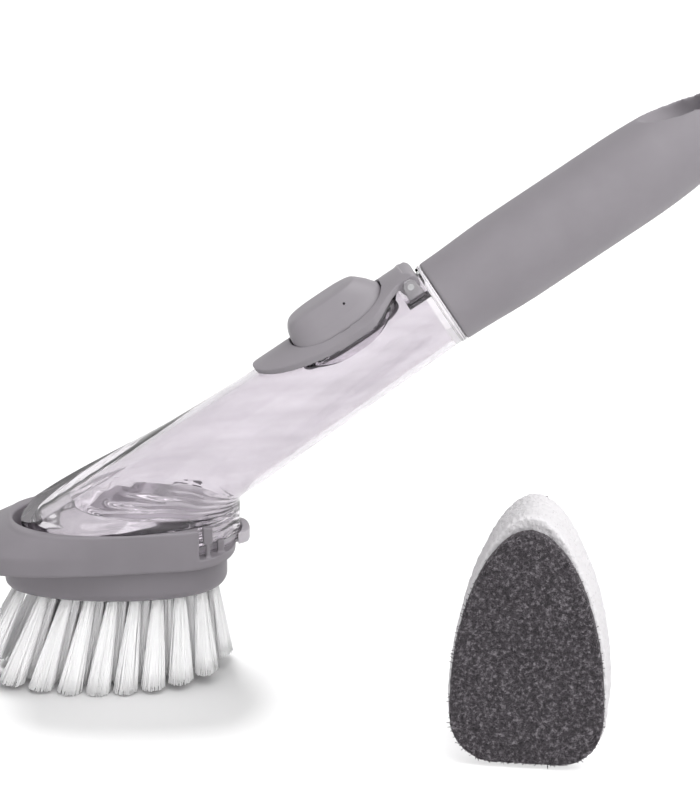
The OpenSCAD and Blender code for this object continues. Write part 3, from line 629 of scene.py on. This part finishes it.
collar_r = TUBE_R + COLLAR_LIP
collar = lathe("collar_ring", [
    (TUBE_END + 0.05, collar_r - 0.35), (TUBE_END + 0.1, collar_r - 0.12), (TUBE_END + 0.3, collar_r),
    (FACE_U - 0.3, collar_r), (FACE_U - 0.1, collar_r - 0.12), (FACE_U - 0.05, collar_r - 0.35)])
EAR_IN, EAR_T, EAR_R = 7.6, 1.6, 2.3
RELIEF_R = LEAF_OUT - HINGE_H + 0.6
relief = make("relief", round_solid(along, (HINGE_U, 0, HINGE_H), RELIEF_R, EAR_IN, 1))
behind_hinge = box_solid(along, (HINGE_U, -EAR_IN - 1, HINGE_H - 3.4), (HINGE_U + 9, EAR_IN + 1, HINGE_H + 9))
combine(relief, behind_hinge, "INTERSECT")
combine(collar, relief)
dress(shade(collar, 50), "wand", clear)
SPIGOT_R, SPIGOT_LEN, SPIGOT_WALL = 10.0, 12.0, 1.9
spigot_end, spigot_bore = FACE_U + SPIGOT_LEN, SPIGOT_R - SPIGOT_WALL
spigot = lathe("spigot", [(FACE_U, spigot_bore), (FACE_U, SPIGOT_R), (spigot_end, SPIGOT_R), (spigot_end, spigot_bore)])
dress(shade(spigot), "wand", clear)


def on_saddle(plan, radius, lift=0.0):
    """Puts a plan outline on a cylinder about the wand's axis."""
    return along(plan[:, 0], plan[:, 1], np.sqrt(np.maximum(radius**2 - plan[:, 1] ** 2, 0.01)) + lift)


def oval_plan(front, rear, half, grow=0.0):
    plan = egg((rear - front) / 2 + grow, (rear - front) / 2 + grow, half + grow, 2.6, 2.6)
    return plan + np.array([(front + rear) / 2, 0])


FILLER_FRONT = 72.7
FILLER_HALF = 12.3
low_r = FILLER_R - 1.2
rim_outside, rim_opening = (FILLER_FRONT, DECK_U, FILLER_HALF), (OPEN_FRONT, OPEN_REAR, OPEN_HALF)
rim_rings = [
    on_saddle(oval_plan(*rim_outside, 0.1), low_r),
    on_saddle(oval_plan(*rim_outside), FILLER_R - 0.2),
    on_saddle(oval_plan(*rim_outside, -0.2), FILLER_R),
    on_saddle(oval_plan(*rim_opening, 0.2), FILLER_R),
    on_saddle(oval_plan(*rim_opening), FILLER_R - 0.2),
    on_saddle(oval_plan(*rim_opening), low_r - 1)]
rim = make("filler_rim", loft(rim_rings, close_rows=True))
dress(shade(rim, 50), "wand", clear)

for side, label in ((-1, "near"), (1, "far")):
    a = np.linspace(0, math.pi, 32)
    plan = np.vstack([np.stack([HINGE_U + EAR_R * np.cos(a), HINGE_H + EAR_R * np.sin(a)], -1),
                      [[HINGE_U - EAR_R - 0.5, DECK_H - 1.2], [HINGE_U + EAR_R + 0.5, DECK_H - 1.2]]])
    rings = []
    for y, inset in ((EAR_IN, 0.25), (EAR_IN + 0.25, 0), (EAR_IN + EAR_T - 0.25, 0), (EAR_IN + EAR_T, 0.25)):
        middle = plan.mean(0)
        p = middle + (plan - middle) * (1 - inset / EAR_R)
        rings.append(along(p[:, 0], side * y, p[:, 1]))
    ear = make(f"hinge_ear_{label}", loft(rings))
    combine(ear, round_solid(along, (HINGE_U, side * EAR_IN, HINGE_H), 1.03, 4, 1))
    dress(shade(ear, 50), "wand", clear_trim)

# The grip, with the hanging hole and its scooped lead-in


def grip_profile(steps=48):
    straight = GRIP_LEN - TAIL_LEN
    x = np.linspace(0, straight, steps)
    r = GRIP_R - GRIP_NECK * (1 + np.cos(math.pi * np.minimum(1, x / NECK_LEN))) / 2
    a = np.linspace(0, math.pi / 2, steps)[1:]
    bend = 2 / 2.4
    tail = np.stack([straight + TAIL_LEN * np.sin(a) ** bend, np.maximum(0.05, GRIP_R * np.cos(a) ** bend)], -1)
    body = np.vstack([np.stack([x, r], -1), tail])
    body[0, 1] -= 0.35
    return np.vstack([body[:1], [[0.35, GRIP_R - GRIP_NECK]], body[1:]])


grip = lathe("grip_skin", [(FACE_U + x, r) for x, r in grip_profile()])
SCOOP_TILT = math.radians(40)
SCOOP_RISE = 4.0
turn = 2 * math.pi * np.arange(96) / 96
hole = loft([along(HANG_U + HANG_R * np.cos(turn), HANG_R * np.sin(turn), z) for z in (-40, 40)])
combine(grip, hole)
local_x, local_y = HANG_R * np.cos(turn), HANG_R * np.sin(turn)
scoop_rings = []
for z in (0, 60):
    u = HANG_U + local_x * math.cos(SCOOP_TILT) - z * math.sin(SCOOP_TILT)
    r = SCOOP_RISE + local_x * math.sin(SCOOP_TILT) + z * math.cos(SCOOP_TILT)
    scoop_rings.append(along(u, local_y, r))
combine(grip, loft(scoop_rings))
soften(grip, 0.5, 5)
dress(grip, "wand", grip_skin, ["grip_sleeve"])

# The lid's leaf and the pump button


def cad_copy(name, node):
    """A new piece that starts as the node's own solid."""
    piece = bpy.data.objects.new(name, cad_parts[node].data.copy())
    bpy.context.scene.collection.objects.link(piece)
    return piece


leaf = soften(cad_copy("lid_saddle", "lid_leaf"), 0.28, 4)
dress(leaf, "lid", lid_plastic, ["lid_leaf"])

BUTTON_MID = (BUTTON_FRONT + BUTTON_REAR) / 2
BUTTON_L = BUTTON_REAR - BUTTON_FRONT
BUTTON_TOP = LEAF_OUT + 6.6
BUTTON_LOW = 11.6
# Reach to the front, reach to the rear, half width and height of the button's rings, from its foot up
button_form = np.array([
    [BUTTON_L / 2, BUTTON_L / 2, BUTTON_HALF, BUTTON_LOW],
    [BUTTON_L / 2, BUTTON_L / 2, BUTTON_HALF, BUTTON_LOW + 1.6],
    [16.3, 16.3, 9.45, BUTTON_LOW + 2.9],
    [16.1, 15.9, 7.9, LEAF_OUT - 0.2],
    [15.95, 15.4, 7.55, LEAF_OUT + 0.6],
    [15.4, 13.9, 6.75, LEAF_OUT + 2.6],
    [14.3, 12.1, 5.9, LEAF_OUT + 4.5],
    [13.2, 11.0, 5.3, BUTTON_TOP - 1.05],
    [11.7, 10.2, 4.8, BUTTON_TOP - 0.6],
    [8.2, 7.6, 3.5, BUTTON_TOP - 0.15],
    [5.0, 4.6, 2.2, BUTTON_TOP - 0.02],
    [0.6, 0.6, 0.35, BUTTON_TOP]])


def smooth_rows(rows, steps):
    """A Catmull-Rom curve through rows of numbers."""
    padded = np.vstack([2 * rows[0] - rows[1], rows, 2 * rows[-1] - rows[-2]])
    out = []
    for i in range(1, len(padded) - 2):
        a, b, c, d = padded[i - 1:i + 3]
        for s in np.linspace(0, 1, steps, endpoint=False):
            out.append(0.5 * (2 * b + (c - a) * s + (2 * a - 5 * b + 4 * c - d) * s**2
                              + (3 * b - a - 3 * c + d) * s**3))
    out.append(rows[-1])
    return np.array(out)


def button_ring(front, rear, half_w, height, wall=0.0):
    plan = egg(front - wall, rear - wall, half_w - wall, 3.5, 2.6)
    return along(plan[:, 0] + BUTTON_MID, plan[:, 1], height)


outside = [button_ring(*row) for row in smooth_rows(button_form, 6)]
WALL = 1.4
hollow = [button_ring(*row, wall=WALL) for row in (
    [BUTTON_L / 2, BUTTON_L / 2, BUTTON_HALF, BUTTON_LOW], [15.9, 15.6, 7.8, LEAF_OUT],
    [11.0, 9.6, 4.7, BUTTON_TOP - 2.2])]
rings = hollow[::-1] + outside
button = make("pump_dome", loft(rings))
combine(button, round_solid(along, (BUTTON_MID + 4, -6.2, LEAF_OUT + 2.6), 0.4, 2.2, 1, 24))
dress(shade(button, 50), "button", button_plastic, ["pump_button"])

bellows = cad_copy("air_bellows", "pump_bellows")
dress(shade(bellows, 30), "lid", dark_silicone, ["pump_bellows"])
foot = np.array(along(0, 0, 0))
pressing = np.array(along(0, 0, 1)) - foot
pressing /= np.linalg.norm(pressing)
heights = [float((np.array(v.co) - foot) @ pressing) for v in bellows.data.vertices]
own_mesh(bellows)

# The head frame with its scraper nose

FRAME_X, FRAME_FRONT, FRAME_REAR, FRAME_HALF = 16.0, 64.0, 21.5, 23.0
FRAME_LOW, NOSE_H, FRAME_H, WEB_Z = -0.8, 5.1, 12.0, 0.3
NOSE_ROOT = BLOCK_X - BLOCK_FRONT - 3
NOSE_RISE = math.tan(math.radians(5))
WINDOW_X = 24.0
HOOK_X, HOOK_Z = BLOCK_X - BLOCK_FRONT - 0.8, 1.0


def frame_plan(inset, reach=FRAME_FRONT):
    return egg(reach - inset, FRAME_REAR - inset, FRAME_HALF - inset, 3, 2.35) + np.array([FRAME_X, 0])


def plan_ring(plan, z, tilt=False):
    low = FRAME_LOW + np.maximum(0, NOSE_ROOT - plan[:, 0]) * NOSE_RISE
    return head(plan[:, 0], plan[:, 1], np.maximum(z, low) + (low - FRAME_LOW if tilt else 0))


RIM_REACH = FRAME_X - (BASE_X - BASE_HALF[0] - 4.5)
opening = egg(BASE_HALF[0] + 2.5, BASE_HALF[0] + 0.3, BASE_HALF[1] + 0.3, 2, 2) + np.array([BASE_X, 0])
web_hole = egg(28.4, 22.4, 15.4, 2, 2) + np.array([BLOCK_X, 0])
recess = egg(BLOCK_FRONT + 0.4, BLOCK_REAR + 0.4, BLOCK_HALF + 0.4, 1.8, 2.5) + np.array([BLOCK_X, 0])
low_plan, high_plan = frame_plan(0), frame_plan(0.5, RIM_REACH)
profile = [plan_ring(frame_plan(0.45), FRAME_LOW), plan_ring(frame_plan(0.1), FRAME_LOW + 0.3, True)]
profile.append(plan_ring(low_plan, FRAME_LOW + 0.8, True))
profile += [plan_ring(low_plan, NOSE_H - 0.9), plan_ring(low_plan + (high_plan - low_plan) * 0.015, NOSE_H - 0.25)]
for k in np.linspace(0.06, 0.97, 9):
    swell = 0.35 * math.sin(math.pi * k)
    profile.append(plan_ring(low_plan + (high_plan - low_plan) * k, NOSE_H + (FRAME_H - 0.5 - NOSE_H) * k + swell))
profile += [plan_ring(high_plan, FRAME_H - 0.3), plan_ring(frame_plan(0.9, RIM_REACH), FRAME_H)]
profile += [plan_ring(opening + (opening - [BASE_X, 0]) * 0.008, FRAME_H), plan_ring(opening, FRAME_H - 0.35)]
profile += [plan_ring(opening, SKIRT_Z), plan_ring(web_hole, SKIRT_Z), plan_ring(web_hole, WEB_Z)]
profile += [plan_ring(recess, WEB_Z), plan_ring(recess, FRAME_LOW)]
ring_frame = soften(make("scraper_frame", loft(profile, close_rows=True)), 0.36, 3)
combine(ring_frame, box_solid(head, (WINDOW_X, -40, SKIRT_Z), (80, 40, 40)))
combine(ring_frame, box_solid(head, (HOOK_X - 3.9, -3.4, HOOK_Z - 0.1), (HOOK_X + 2.7, 3.4, HOOK_Z + 3.6)))
combine(ring_frame, box_solid(head, (HOOK_X - 1.2, -3.4, -20), (HOOK_X + 2.7, 3.4, HOOK_Z)))
TONGUE_TIP, TONGUE_HALF, TONGUE_HEAD, LATCH_TRAVEL = BLOCK_X + 22.8, 4.0, 1.5, 3.0
POCKET_ROOM = 0.25
POCKET_REAR = TONGUE_TIP + TONGUE_HEAD + LATCH_TRAVEL + POCKET_ROOM
GUIDE_HALF = TONGUE_HALF + 0.3
POCKET_HALF = GUIDE_HALF + TONGUE_HEAD
combine(ring_frame, box_solid(head, (TONGUE_TIP - 1, -POCKET_HALF, WEB_Z), (POCKET_REAR, POCKET_HALF, 3)))
combine(ring_frame, box_solid(head, (TONGUE_TIP - 1, -GUIDE_HALF, WEB_Z), (80, GUIDE_HALF, 3)))


def frame_half_at(x):
    n, length = (3, FRAME_FRONT) if x < FRAME_X else (2.35, FRAME_REAR)
    return FRAME_HALF * (1 - min(1, abs(x - FRAME_X) / length) ** n) ** (1 / n)


PEG_L, PEG_T = 3.0, 2.4
# Boxes of the pegs: step from the window, half length, and foot and top as shares of the pegs' height
PEG_BOXES = ((3.0, 0.7, 0, 0.6), (3.0, PEG_L / 2, 0.5, 1), (7.4, 1.1, 0, 0.4))
peg_rise = FRAME_H - SKIRT_Z
for side in (-1, 1):
    for step, half, foot, top in PEG_BOXES:
        x = WINDOW_X + step
        near = frame_half_at(x + PEG_L / 2) - PEG_T - 0.4
        ys = sorted((side * near, side * (near + PEG_T)))
        low, high = SKIRT_Z - 0.4 + foot * peg_rise, SKIRT_Z + top * peg_rise
        combine(ring_frame, box_solid(head, (x - half, ys[0], low), (x + half, ys[1], high)), "UNION")
soften(ring_frame, 0.3, 2)
dress(ring_frame, "wand", frame_plastic, ["head_frame"])

latch = soften(cad_copy("thumb_tab", "release_latch"), 0.2, 4)
dress(latch, "latch", tab_plastic, ["release_latch"])

# The brush block


def block_plan(grow):
    return egg(BLOCK_FRONT + grow, BLOCK_REAR + grow, BLOCK_HALF + grow, 1.8, 2.5) + np.array([BLOCK_X, 0])


def locating_rim(place):
    """The raised ring and the front hook that seat a head in the frame."""
    ring = [egg(28 + g, 22 + g, 15 + g, 2, 2, 96) + np.array([BLOCK_X, 0]) for g in (0, -0.2, -1.6, -1.8)]
    heights = ((-0.4, ring[0]), (1.7, ring[0]), (1.9, ring[1]), (1.9, ring[2]), (1.7, ring[3]), (-0.4, ring[3]))
    rim = loft([place(p[:, 0], p[:, 1], z) for z, p in heights], close_rows=True)
    post = box_solid(place, (HOOK_X + 0.2, -3, -1), (HOOK_X + 1.8, 3, HOOK_Z + 1.6))
    arm = box_solid(place, (HOOK_X - 3, -3, HOOK_Z + 0.2), (HOOK_X + 1.8, 3, HOOK_Z + 1.6))
    return rim, post, arm


EDGE = 3.2
heights = []
for a in np.linspace(0, math.pi / 2, 12):
    heights.append((-EDGE * (1 - math.sin(a)), -BLOCK_H + EDGE * (1 - math.cos(a))))
heights += [(0, -BLOCK_H + EDGE + 1), (0, -3), (0, -0.4), (-0.12, -0.12), (-0.4, 0)]
block = make("egg_block", loft([head(block_plan(g)[:, 0], block_plan(g)[:, 1], z) for g, z in heights]))
combine(block, round_solid(head, (BASE_X, 0, 0), 3.0, 30, 2))
rim, post, arm = locating_rim(head)
for solid in (rim, post, arm):
    combine(block, solid, "UNION")
dress(shade(block, 30), "brush_head", block_plastic, ["brush_block"])

# Bristles: every tuft is a bundle of single filaments

FIRST_TUFT, TUFT_PITCH, TUFT_MARGIN, ROW_GAP = -29.8, 6.9, 5.2, 6.8
ROOT_R, TIP_R = 1.65, 3.85
FAN_X, FAN_Y, FAN_PIVOT, TRIM_X, TRIM_R = 0.26, 0.25, 21.0, -10.0, 185.0


def block_half_at(x):
    length, n = (BLOCK_FRONT, 1.8) if x < BLOCK_X else (BLOCK_REAR, 2.5)
    return BLOCK_HALF * (1 - min(1, abs(x - BLOCK_X) / length) ** n) ** (1 / n)


def column(i):
    return FIRST_TUFT + i * TUFT_PITCH


outer_places = [(column(i), side * (block_half_at(column(i)) - TUFT_MARGIN)) for i in range(9) for side in (-1, 1)]
outer_places += [(BLOCK_X + BLOCK_REAR - TUFT_MARGIN, side * 4.2) for side in (-1, 1)]
middle_places = [(column(i + 1.5), side * (block_half_at(column(i + 1.5)) - TUFT_MARGIN - ROW_GAP))
                 for i in range(7) for side in (-1, 1)]
centre_places = [(column(i), 0.0) for i in (3, 4, 6, 7, 8)]
# Filaments of a tuft, how many of them stand on its rim, their radius, and their rings and corners
STRANDS = 96
AROUND = 60
STRAND_R = 0.16
RINGS = 6
STRAND_SIDES = 5
GOLDEN_ANGLE = 2.39996


def tuft(x, y):
    """One tuft: a packed core with strands around it that spread to the tip and end on the trim curve."""
    fan = np.array([FAN_X * (x - FAN_PIVOT), FAN_Y * y])
    foot, middle = np.array([x, y]), np.array([x, y]) + fan
    k = np.arange(STRANDS)
    around = k < AROUND
    rad = np.where(around, 1.0, np.sqrt(np.maximum(0, k - AROUND + 0.5) / (STRANDS - AROUND)) * 0.95)
    ang = np.where(around, 2 * math.pi * k / AROUND, k * GOLDEN_ANGLE) + rng.uniform(0, 6.28)
    spot = np.stack([rad * np.cos(ang), rad * np.sin(ang)], -1) + rng.normal(0, 0.025, (STRANDS, 2))
    stray = rng.normal(0, 0.1, (STRANDS, 2))
    bow = rng.normal(0, 0.05, (STRANDS, 2))
    tip = middle + spot * (TIP_R - 0.25) + stray
    trimmed = -BLOCK_H - BRISTLE_OUT + (tip[:, 0] - TRIM_X) ** 2 / (2 * TRIM_R) + 0.15
    tip_z = trimmed + rng.uniform(0, 0.5, STRANDS)
    turn = 2 * math.pi * np.arange(STRAND_SIDES) / STRAND_SIDES
    verts = []
    for s in np.linspace(0, 1, RINGS):
        flat = foot + fan * s + spot * ((ROOT_R - 0.15) * (1 - s) + (TIP_R - 0.25) * s) + stray * s
        flat = flat + bow * math.sin(math.pi * s)
        z = -BLOCK_H + 0.6 + (tip_z + BLOCK_H - 0.6) * s
        ring = np.zeros((STRANDS, STRAND_SIDES, 3))
        ring[:, :, 0] = flat[:, :1] + STRAND_R * np.cos(turn)
        ring[:, :, 1] = flat[:, 1:] + STRAND_R * np.sin(turn)
        ring[:, :, 2] = z[:, None]
        verts.append(ring)
    verts = np.stack(verts, 1).reshape(-1, 3)
    faces = []
    for strand in range(STRANDS):
        start = strand * RINGS * STRAND_SIDES
        for i in range(RINGS - 1):
            a = start + i * STRAND_SIDES
            b = a + STRAND_SIDES
            faces += [(a + j, a + (j + 1) % STRAND_SIDES, b + (j + 1) % STRAND_SIDES, b + j) for j in range(STRAND_SIDES)]
        faces.append(tuple(start + (RINGS - 1) * STRAND_SIDES + j for j in range(STRAND_SIDES)))
        faces.append(tuple(start + j for j in reversed(range(STRAND_SIDES))))
    core_turn = 2 * math.pi * np.arange(24) / 24
    core_end = float(tip_z.max()) + 0.6
    core = []
    for s in (0.0, 0.5, 1.0):
        r = (ROOT_R - 0.12) * (1 - s) + (TIP_R - 0.8) * s
        spot_x, spot_y = foot + fan * s
        z = -BLOCK_H + 0.6 + (core_end + BLOCK_H - 0.6) * s
        core.append(head(spot_x + r * np.cos(core_turn), spot_y + r * np.sin(core_turn), z))
    return joined((head(verts[:, 0], verts[:, 1], verts[:, 2]), faces), loft(core))


for name, places in (("outer", outer_places), ("middle", middle_places), ("centre", centre_places)):
    tufts = make(f"strands_{name}", joined(*[tuft(x, y) for x, y in places]))
    tufts.data.shade_smooth()
    dress(tufts, "brush_head", bristle, [f"tufts_{name}"])

# The spare sponge head


def sponge_plan(inset, count=SIDES):
    plan = egg(SPONGE_FRONT - inset, SPONGE_REAR - inset + HEEL_ROUND, SPONGE_HALF - inset, 1.9, 2.8, count)
    plan[:, 0] = np.minimum(plan[:, 0], SPONGE_REAR - inset)
    return even(plan, count) + np.array([SPONGE_X, 0])


def slab(low, high, edge, inset, waist=0.0, nose=0.0):
    """A sponge outline with rounded edges, a slightly drawn-in waist and a swollen narrow end."""
    rings = []
    mid, half = (low + high) / 2, (high - low) / 2
    for a in np.linspace(-1, 1, 17):
        z = mid + half * a
        round_off = edge * (1 - math.sqrt(max(0, 1 - max(0, (abs(a) * half - (half - edge)) / edge) ** 2)))
        plan = sponge_plan(inset + round_off + waist * (1 - a * a))
        plan[:, 0] -= nose * np.maximum(0, 1 - (plan[:, 0] - plan[:, 0].min()) / NOSE_REACH)
        rings.append(standing(plan[:, 0], plan[:, 1], z))
    return loft(rings)


def roughen(piece, size, depth, kind="VORONOI"):
    """Presses pores or tufts into a mesh along its normals."""
    texture = bpy.data.textures.new(piece.name, kind)
    texture.noise_scale = size * MM
    change = piece.modifiers.new("pores", "DISPLACE")
    change.texture = texture
    change.texture_coords = "LOCAL"
    change.strength = depth * MM
    change.mid_level = 1.0 if kind == "VORONOI" else 0.5
    return settle(piece)


NOSE_REACH = 14.0
foam = make("sponge_body", slab(-PLATE_T - FOAM_T, -PLATE_T, 0.8, 0.15, 0.35, 3.0))
soften(foam, 0.55, 2)
roughen(foam, 1.3, 0.45)
dress(foam, "sponge_head", foam_white, ["sponge_foam"])

PAD_LOW = -PLATE_T - FOAM_T - PAD_T
PAD_INSET = 1.2
pad = make("scouring_pad", slab(PAD_LOW + 0.15, PAD_LOW + PAD_T + 0.05, 0.9, PAD_INSET + 0.1))
soften(pad, 0.6, 2)
roughen(pad, 1.2, 0.5, "CLOUDS")
dress(pad, "sponge_head", pad_grey, ["scour_pad"])


def strands_on_pad(count, long, thick):
    """Short curved fibres that lie on the pad's face and round its edge."""
    plan = sponge_plan(PAD_INSET + 0.5)
    low, high = plan.min(0), plan.max(0)
    verts, faces = [], []
    edges = np.roll(plan, -1, 0) - plan
    steps, sides = 5, 3
    turn = 2 * math.pi * np.arange(sides) / sides
    made = 0
    while made < count:
        p = rng.uniform(low, high)
        if np.min(edges[:, 0] * (p[1] - plan[:, 1]) - edges[:, 1] * (p[0] - plan[:, 0])) < 0:
            continue
        a, curl = rng.uniform(0, 2 * math.pi), rng.normal(0, 0.9)
        size, lift = long * rng.uniform(0.5, 1.2), rng.uniform(0.0, 0.35)
        point = p.copy()
        base = made * steps * sides
        for i in range(steps):
            at = a + curl * i / steps
            way = np.array([math.cos(at), math.sin(at)])
            side_way = np.array([-way[1], way[0]])
            inside = np.min(edges[:, 0] * (point[1] - plan[:, 1]) - edges[:, 1] * (point[0] - plan[:, 0])) > 0
            sink = 0.0 if inside else 0.8
            z = PAD_LOW + 0.25 - lift * math.sin(math.pi * i / (steps - 1)) + sink
            for c in turn:
                q = point + side_way * thick * math.cos(c)
                verts.append((q[0], q[1], z + thick * math.sin(c)))
            if inside:
                point = point + way * size / steps
        for i in range(steps - 1):
            b = base + i * sides
            faces.extend((b + j, b + (j + 1) % sides, b + sides + (j + 1) % sides, b + sides + j)
                         for j in range(sides))
        faces.append(tuple(base + j for j in reversed(range(sides))))
        faces.append(tuple(base + (steps - 1) * sides + j for j in range(sides)))
        made += 1
    verts = np.array(verts)
    return standing(verts[:, 0], verts[:, 1], verts[:, 2]), faces


fibres = make("pad_fibres", strands_on_pad(3800, 7.0, 0.12))
fibres.data.shade_smooth()
dress(fibres, "sponge_head", fibre_grey)

plate_heights = [(-0.3, -PLATE_T), (0, -PLATE_T + 0.3), (0, -0.3), (-0.3, 0)]
plate = make("spare_plate", loft([standing(block_plan(g)[:, 0], block_plan(g)[:, 1], z) for g, z in plate_heights]))
for solid in locating_rim(standing):
    combine(plate, solid, "UNION")
dress(shade(plate, 35), "sponge_head", block_plastic, ["sponge_plate"])

# Floor, backdrop light and camera

WHITE = (1.0, 1.0, 1.0, 1.0)
# What the floor and the world give to bounced rays, and what they show to the camera
FLOOR_GLOW = (0.0, 0.03)
FLOOR_ALBEDO = (0.45, 0.8)
WORLD_LEVEL = (0.23, 1.0)


def seen_directly(tree):
    """1 for rays that show the background itself: from the camera, in a reflection or through clear plastic."""
    path = tree.nodes.new("ShaderNodeLightPath")
    first = tree.nodes.new("ShaderNodeMath")
    first.operation = "MAXIMUM"
    tree.links.new(path.outputs["Is Camera Ray"], first.inputs[0])
    tree.links.new(path.outputs["Is Transmission Ray"], first.inputs[1])
    both = tree.nodes.new("ShaderNodeMath")
    both.operation = "MAXIMUM"
    tree.links.new(first.outputs[0], both.inputs[0])
    tree.links.new(path.outputs["Is Glossy Ray"], both.inputs[1])
    return both.outputs[0]


FLOOR_Z = float(head(0, 0, -BLOCK_H - BRISTLE_OUT)[2])
REACH = 40.0
floor_mesh = bpy.data.meshes.new("floor")
floor_corners = [(x * REACH, y * REACH, FLOOR_Z) for x, y in ((-1, -1), (1, -1), (1, 1), (-1, 1))]
floor_mesh.from_pydata(floor_corners, [], [(0, 1, 2, 3)])
floor = bpy.data.objects.new("floor", floor_mesh)
bpy.context.scene.collection.objects.link(floor)
paper = bpy.data.materials.new("paper")
paper.use_nodes = True
tree = paper.node_tree
surface = tree.nodes["Principled BSDF"]
surface.inputs["Roughness"].default_value = 0.9
surface.inputs["Specular IOR Level"].default_value = 0.0
glow = tree.nodes.new("ShaderNodeEmission")
glow.inputs["Color"].default_value = WHITE
seen = seen_directly(tree)
for socket, levels in ((glow.inputs["Strength"], FLOOR_GLOW), (surface.inputs["Base Color"], FLOOR_ALBEDO)):
    span = tree.nodes.new("ShaderNodeMapRange")
    span.inputs["To Min"].default_value, span.inputs["To Max"].default_value = levels
    tree.links.new(seen, span.inputs["Value"])
    tree.links.new(span.outputs["Result"], socket)
both = tree.nodes.new("ShaderNodeAddShader")
tree.links.new(surface.outputs[0], both.inputs[0])
tree.links.new(glow.outputs[0], both.inputs[1])
tree.links.new(both.outputs[0], tree.nodes["Material Output"].inputs["Surface"])
floor_mesh.materials.append(paper)

world = bpy.data.worlds.new("studio")
bpy.context.scene.world = world
world.use_nodes = True
tree = world.node_tree
sky = tree.nodes["Background"]
sky.inputs["Color"].default_value = WHITE
level = tree.nodes.new("ShaderNodeMapRange")
level.inputs["To Min"].default_value, level.inputs["To Max"].default_value = WORLD_LEVEL
tree.links.new(seen_directly(tree), level.inputs["Value"])
tree.links.new(level.outputs["Result"], sky.inputs["Strength"])


def softbox(name, place, aim, size, watts):
    """A rectangular lamp that is aimed at a point; places and sizes in metres."""
    light = bpy.data.lights.new(name, "AREA")
    light.shape = "RECTANGLE"
    light.size, light.size_y = size
    light.energy = watts
    lamp = bpy.data.objects.new(name, light)
    lamp.location = place
    lamp.rotation_euler = (Vector(aim) - Vector(place)).to_track_quat("-Z", "Y").to_euler()
    bpy.context.scene.collection.objects.link(lamp)
    return lamp


AIM = (-0.07, 0, -0.05)


def sun(name, tilt, strength, spread):
    """Even light from one side; tilt and spread in degrees."""
    light = bpy.data.lights.new(name, "SUN")
    light.energy = strength
    light.angle = math.radians(spread)
    lamp = bpy.data.objects.new(name, light)
    lamp.rotation_euler = [math.radians(angle) for angle in tilt]
    bpy.context.scene.collection.objects.link(lamp)
    return lamp


def grouped(name, pieces):
    """A collection that says what a lamp lights, or what blocks it."""
    group = bpy.data.collections.new(name)
    for piece in pieces:
        group.objects.link(piece)
    return group


tuft_pieces = [bpy.data.objects[f"strands_{name}"] for name in ("outer", "middle", "centre")]
sun("ceiling", (14, 12, 0), 1.75, 60)
under = sun("under_head", (-34, -12, 0), 2.7, 24)
under.light_linking.receiver_collection = grouped("lit_by_under", [floor])
under.light_linking.blocker_collection = grouped("shading_the_floor", [*tuft_pieces, block, ring_frame])
softbox("front", (-0.15, -1.15, 0.42), AIM, (1.2, 0.9), 2.3)
low = softbox("low", (-0.30, -0.85, -0.06), (-0.14, 0, -0.12), (0.5, 0.12), 4.4)
low.light_linking.receiver_collection = grouped("lit_by_low", tuft_pieces)
softbox("left", (-0.95, -0.35, 0.30), AIM, (0.5, 0.8), 0.4)
softbox("right", (0.85, -0.65, 0.30), AIM, (0.5, 0.8), 2.6)

# The camera as it was fitted to the photograph
FOCAL_PX = 2880
LONG_SIDE_PX = 798
CAMERA_AWAY = 900 * MM
azimuth, elevation = math.radians(-9), math.radians(19)
target = Vector((-68.87, 0, -55.69)) * MM
way = Vector((math.sin(azimuth) * math.cos(elevation), -math.cos(azimuth) * math.cos(elevation), math.sin(elevation)))
camera = bpy.data.cameras.new("camera")
camera.sensor_width = 36
camera.lens = FOCAL_PX / LONG_SIDE_PX * camera.sensor_width
camera.clip_start = 0.05
camera.clip_end = 30
eye = bpy.data.objects.new("camera", camera)
eye.location = target + way * CAMERA_AWAY
eye.rotation_euler = (-way).to_track_quat("-Z", "Y").to_euler()
bpy.context.scene.collection.objects.link(eye)
bpy.context.scene.camera = eye
bpy.context.scene.view_settings.view_transform = "Standard"
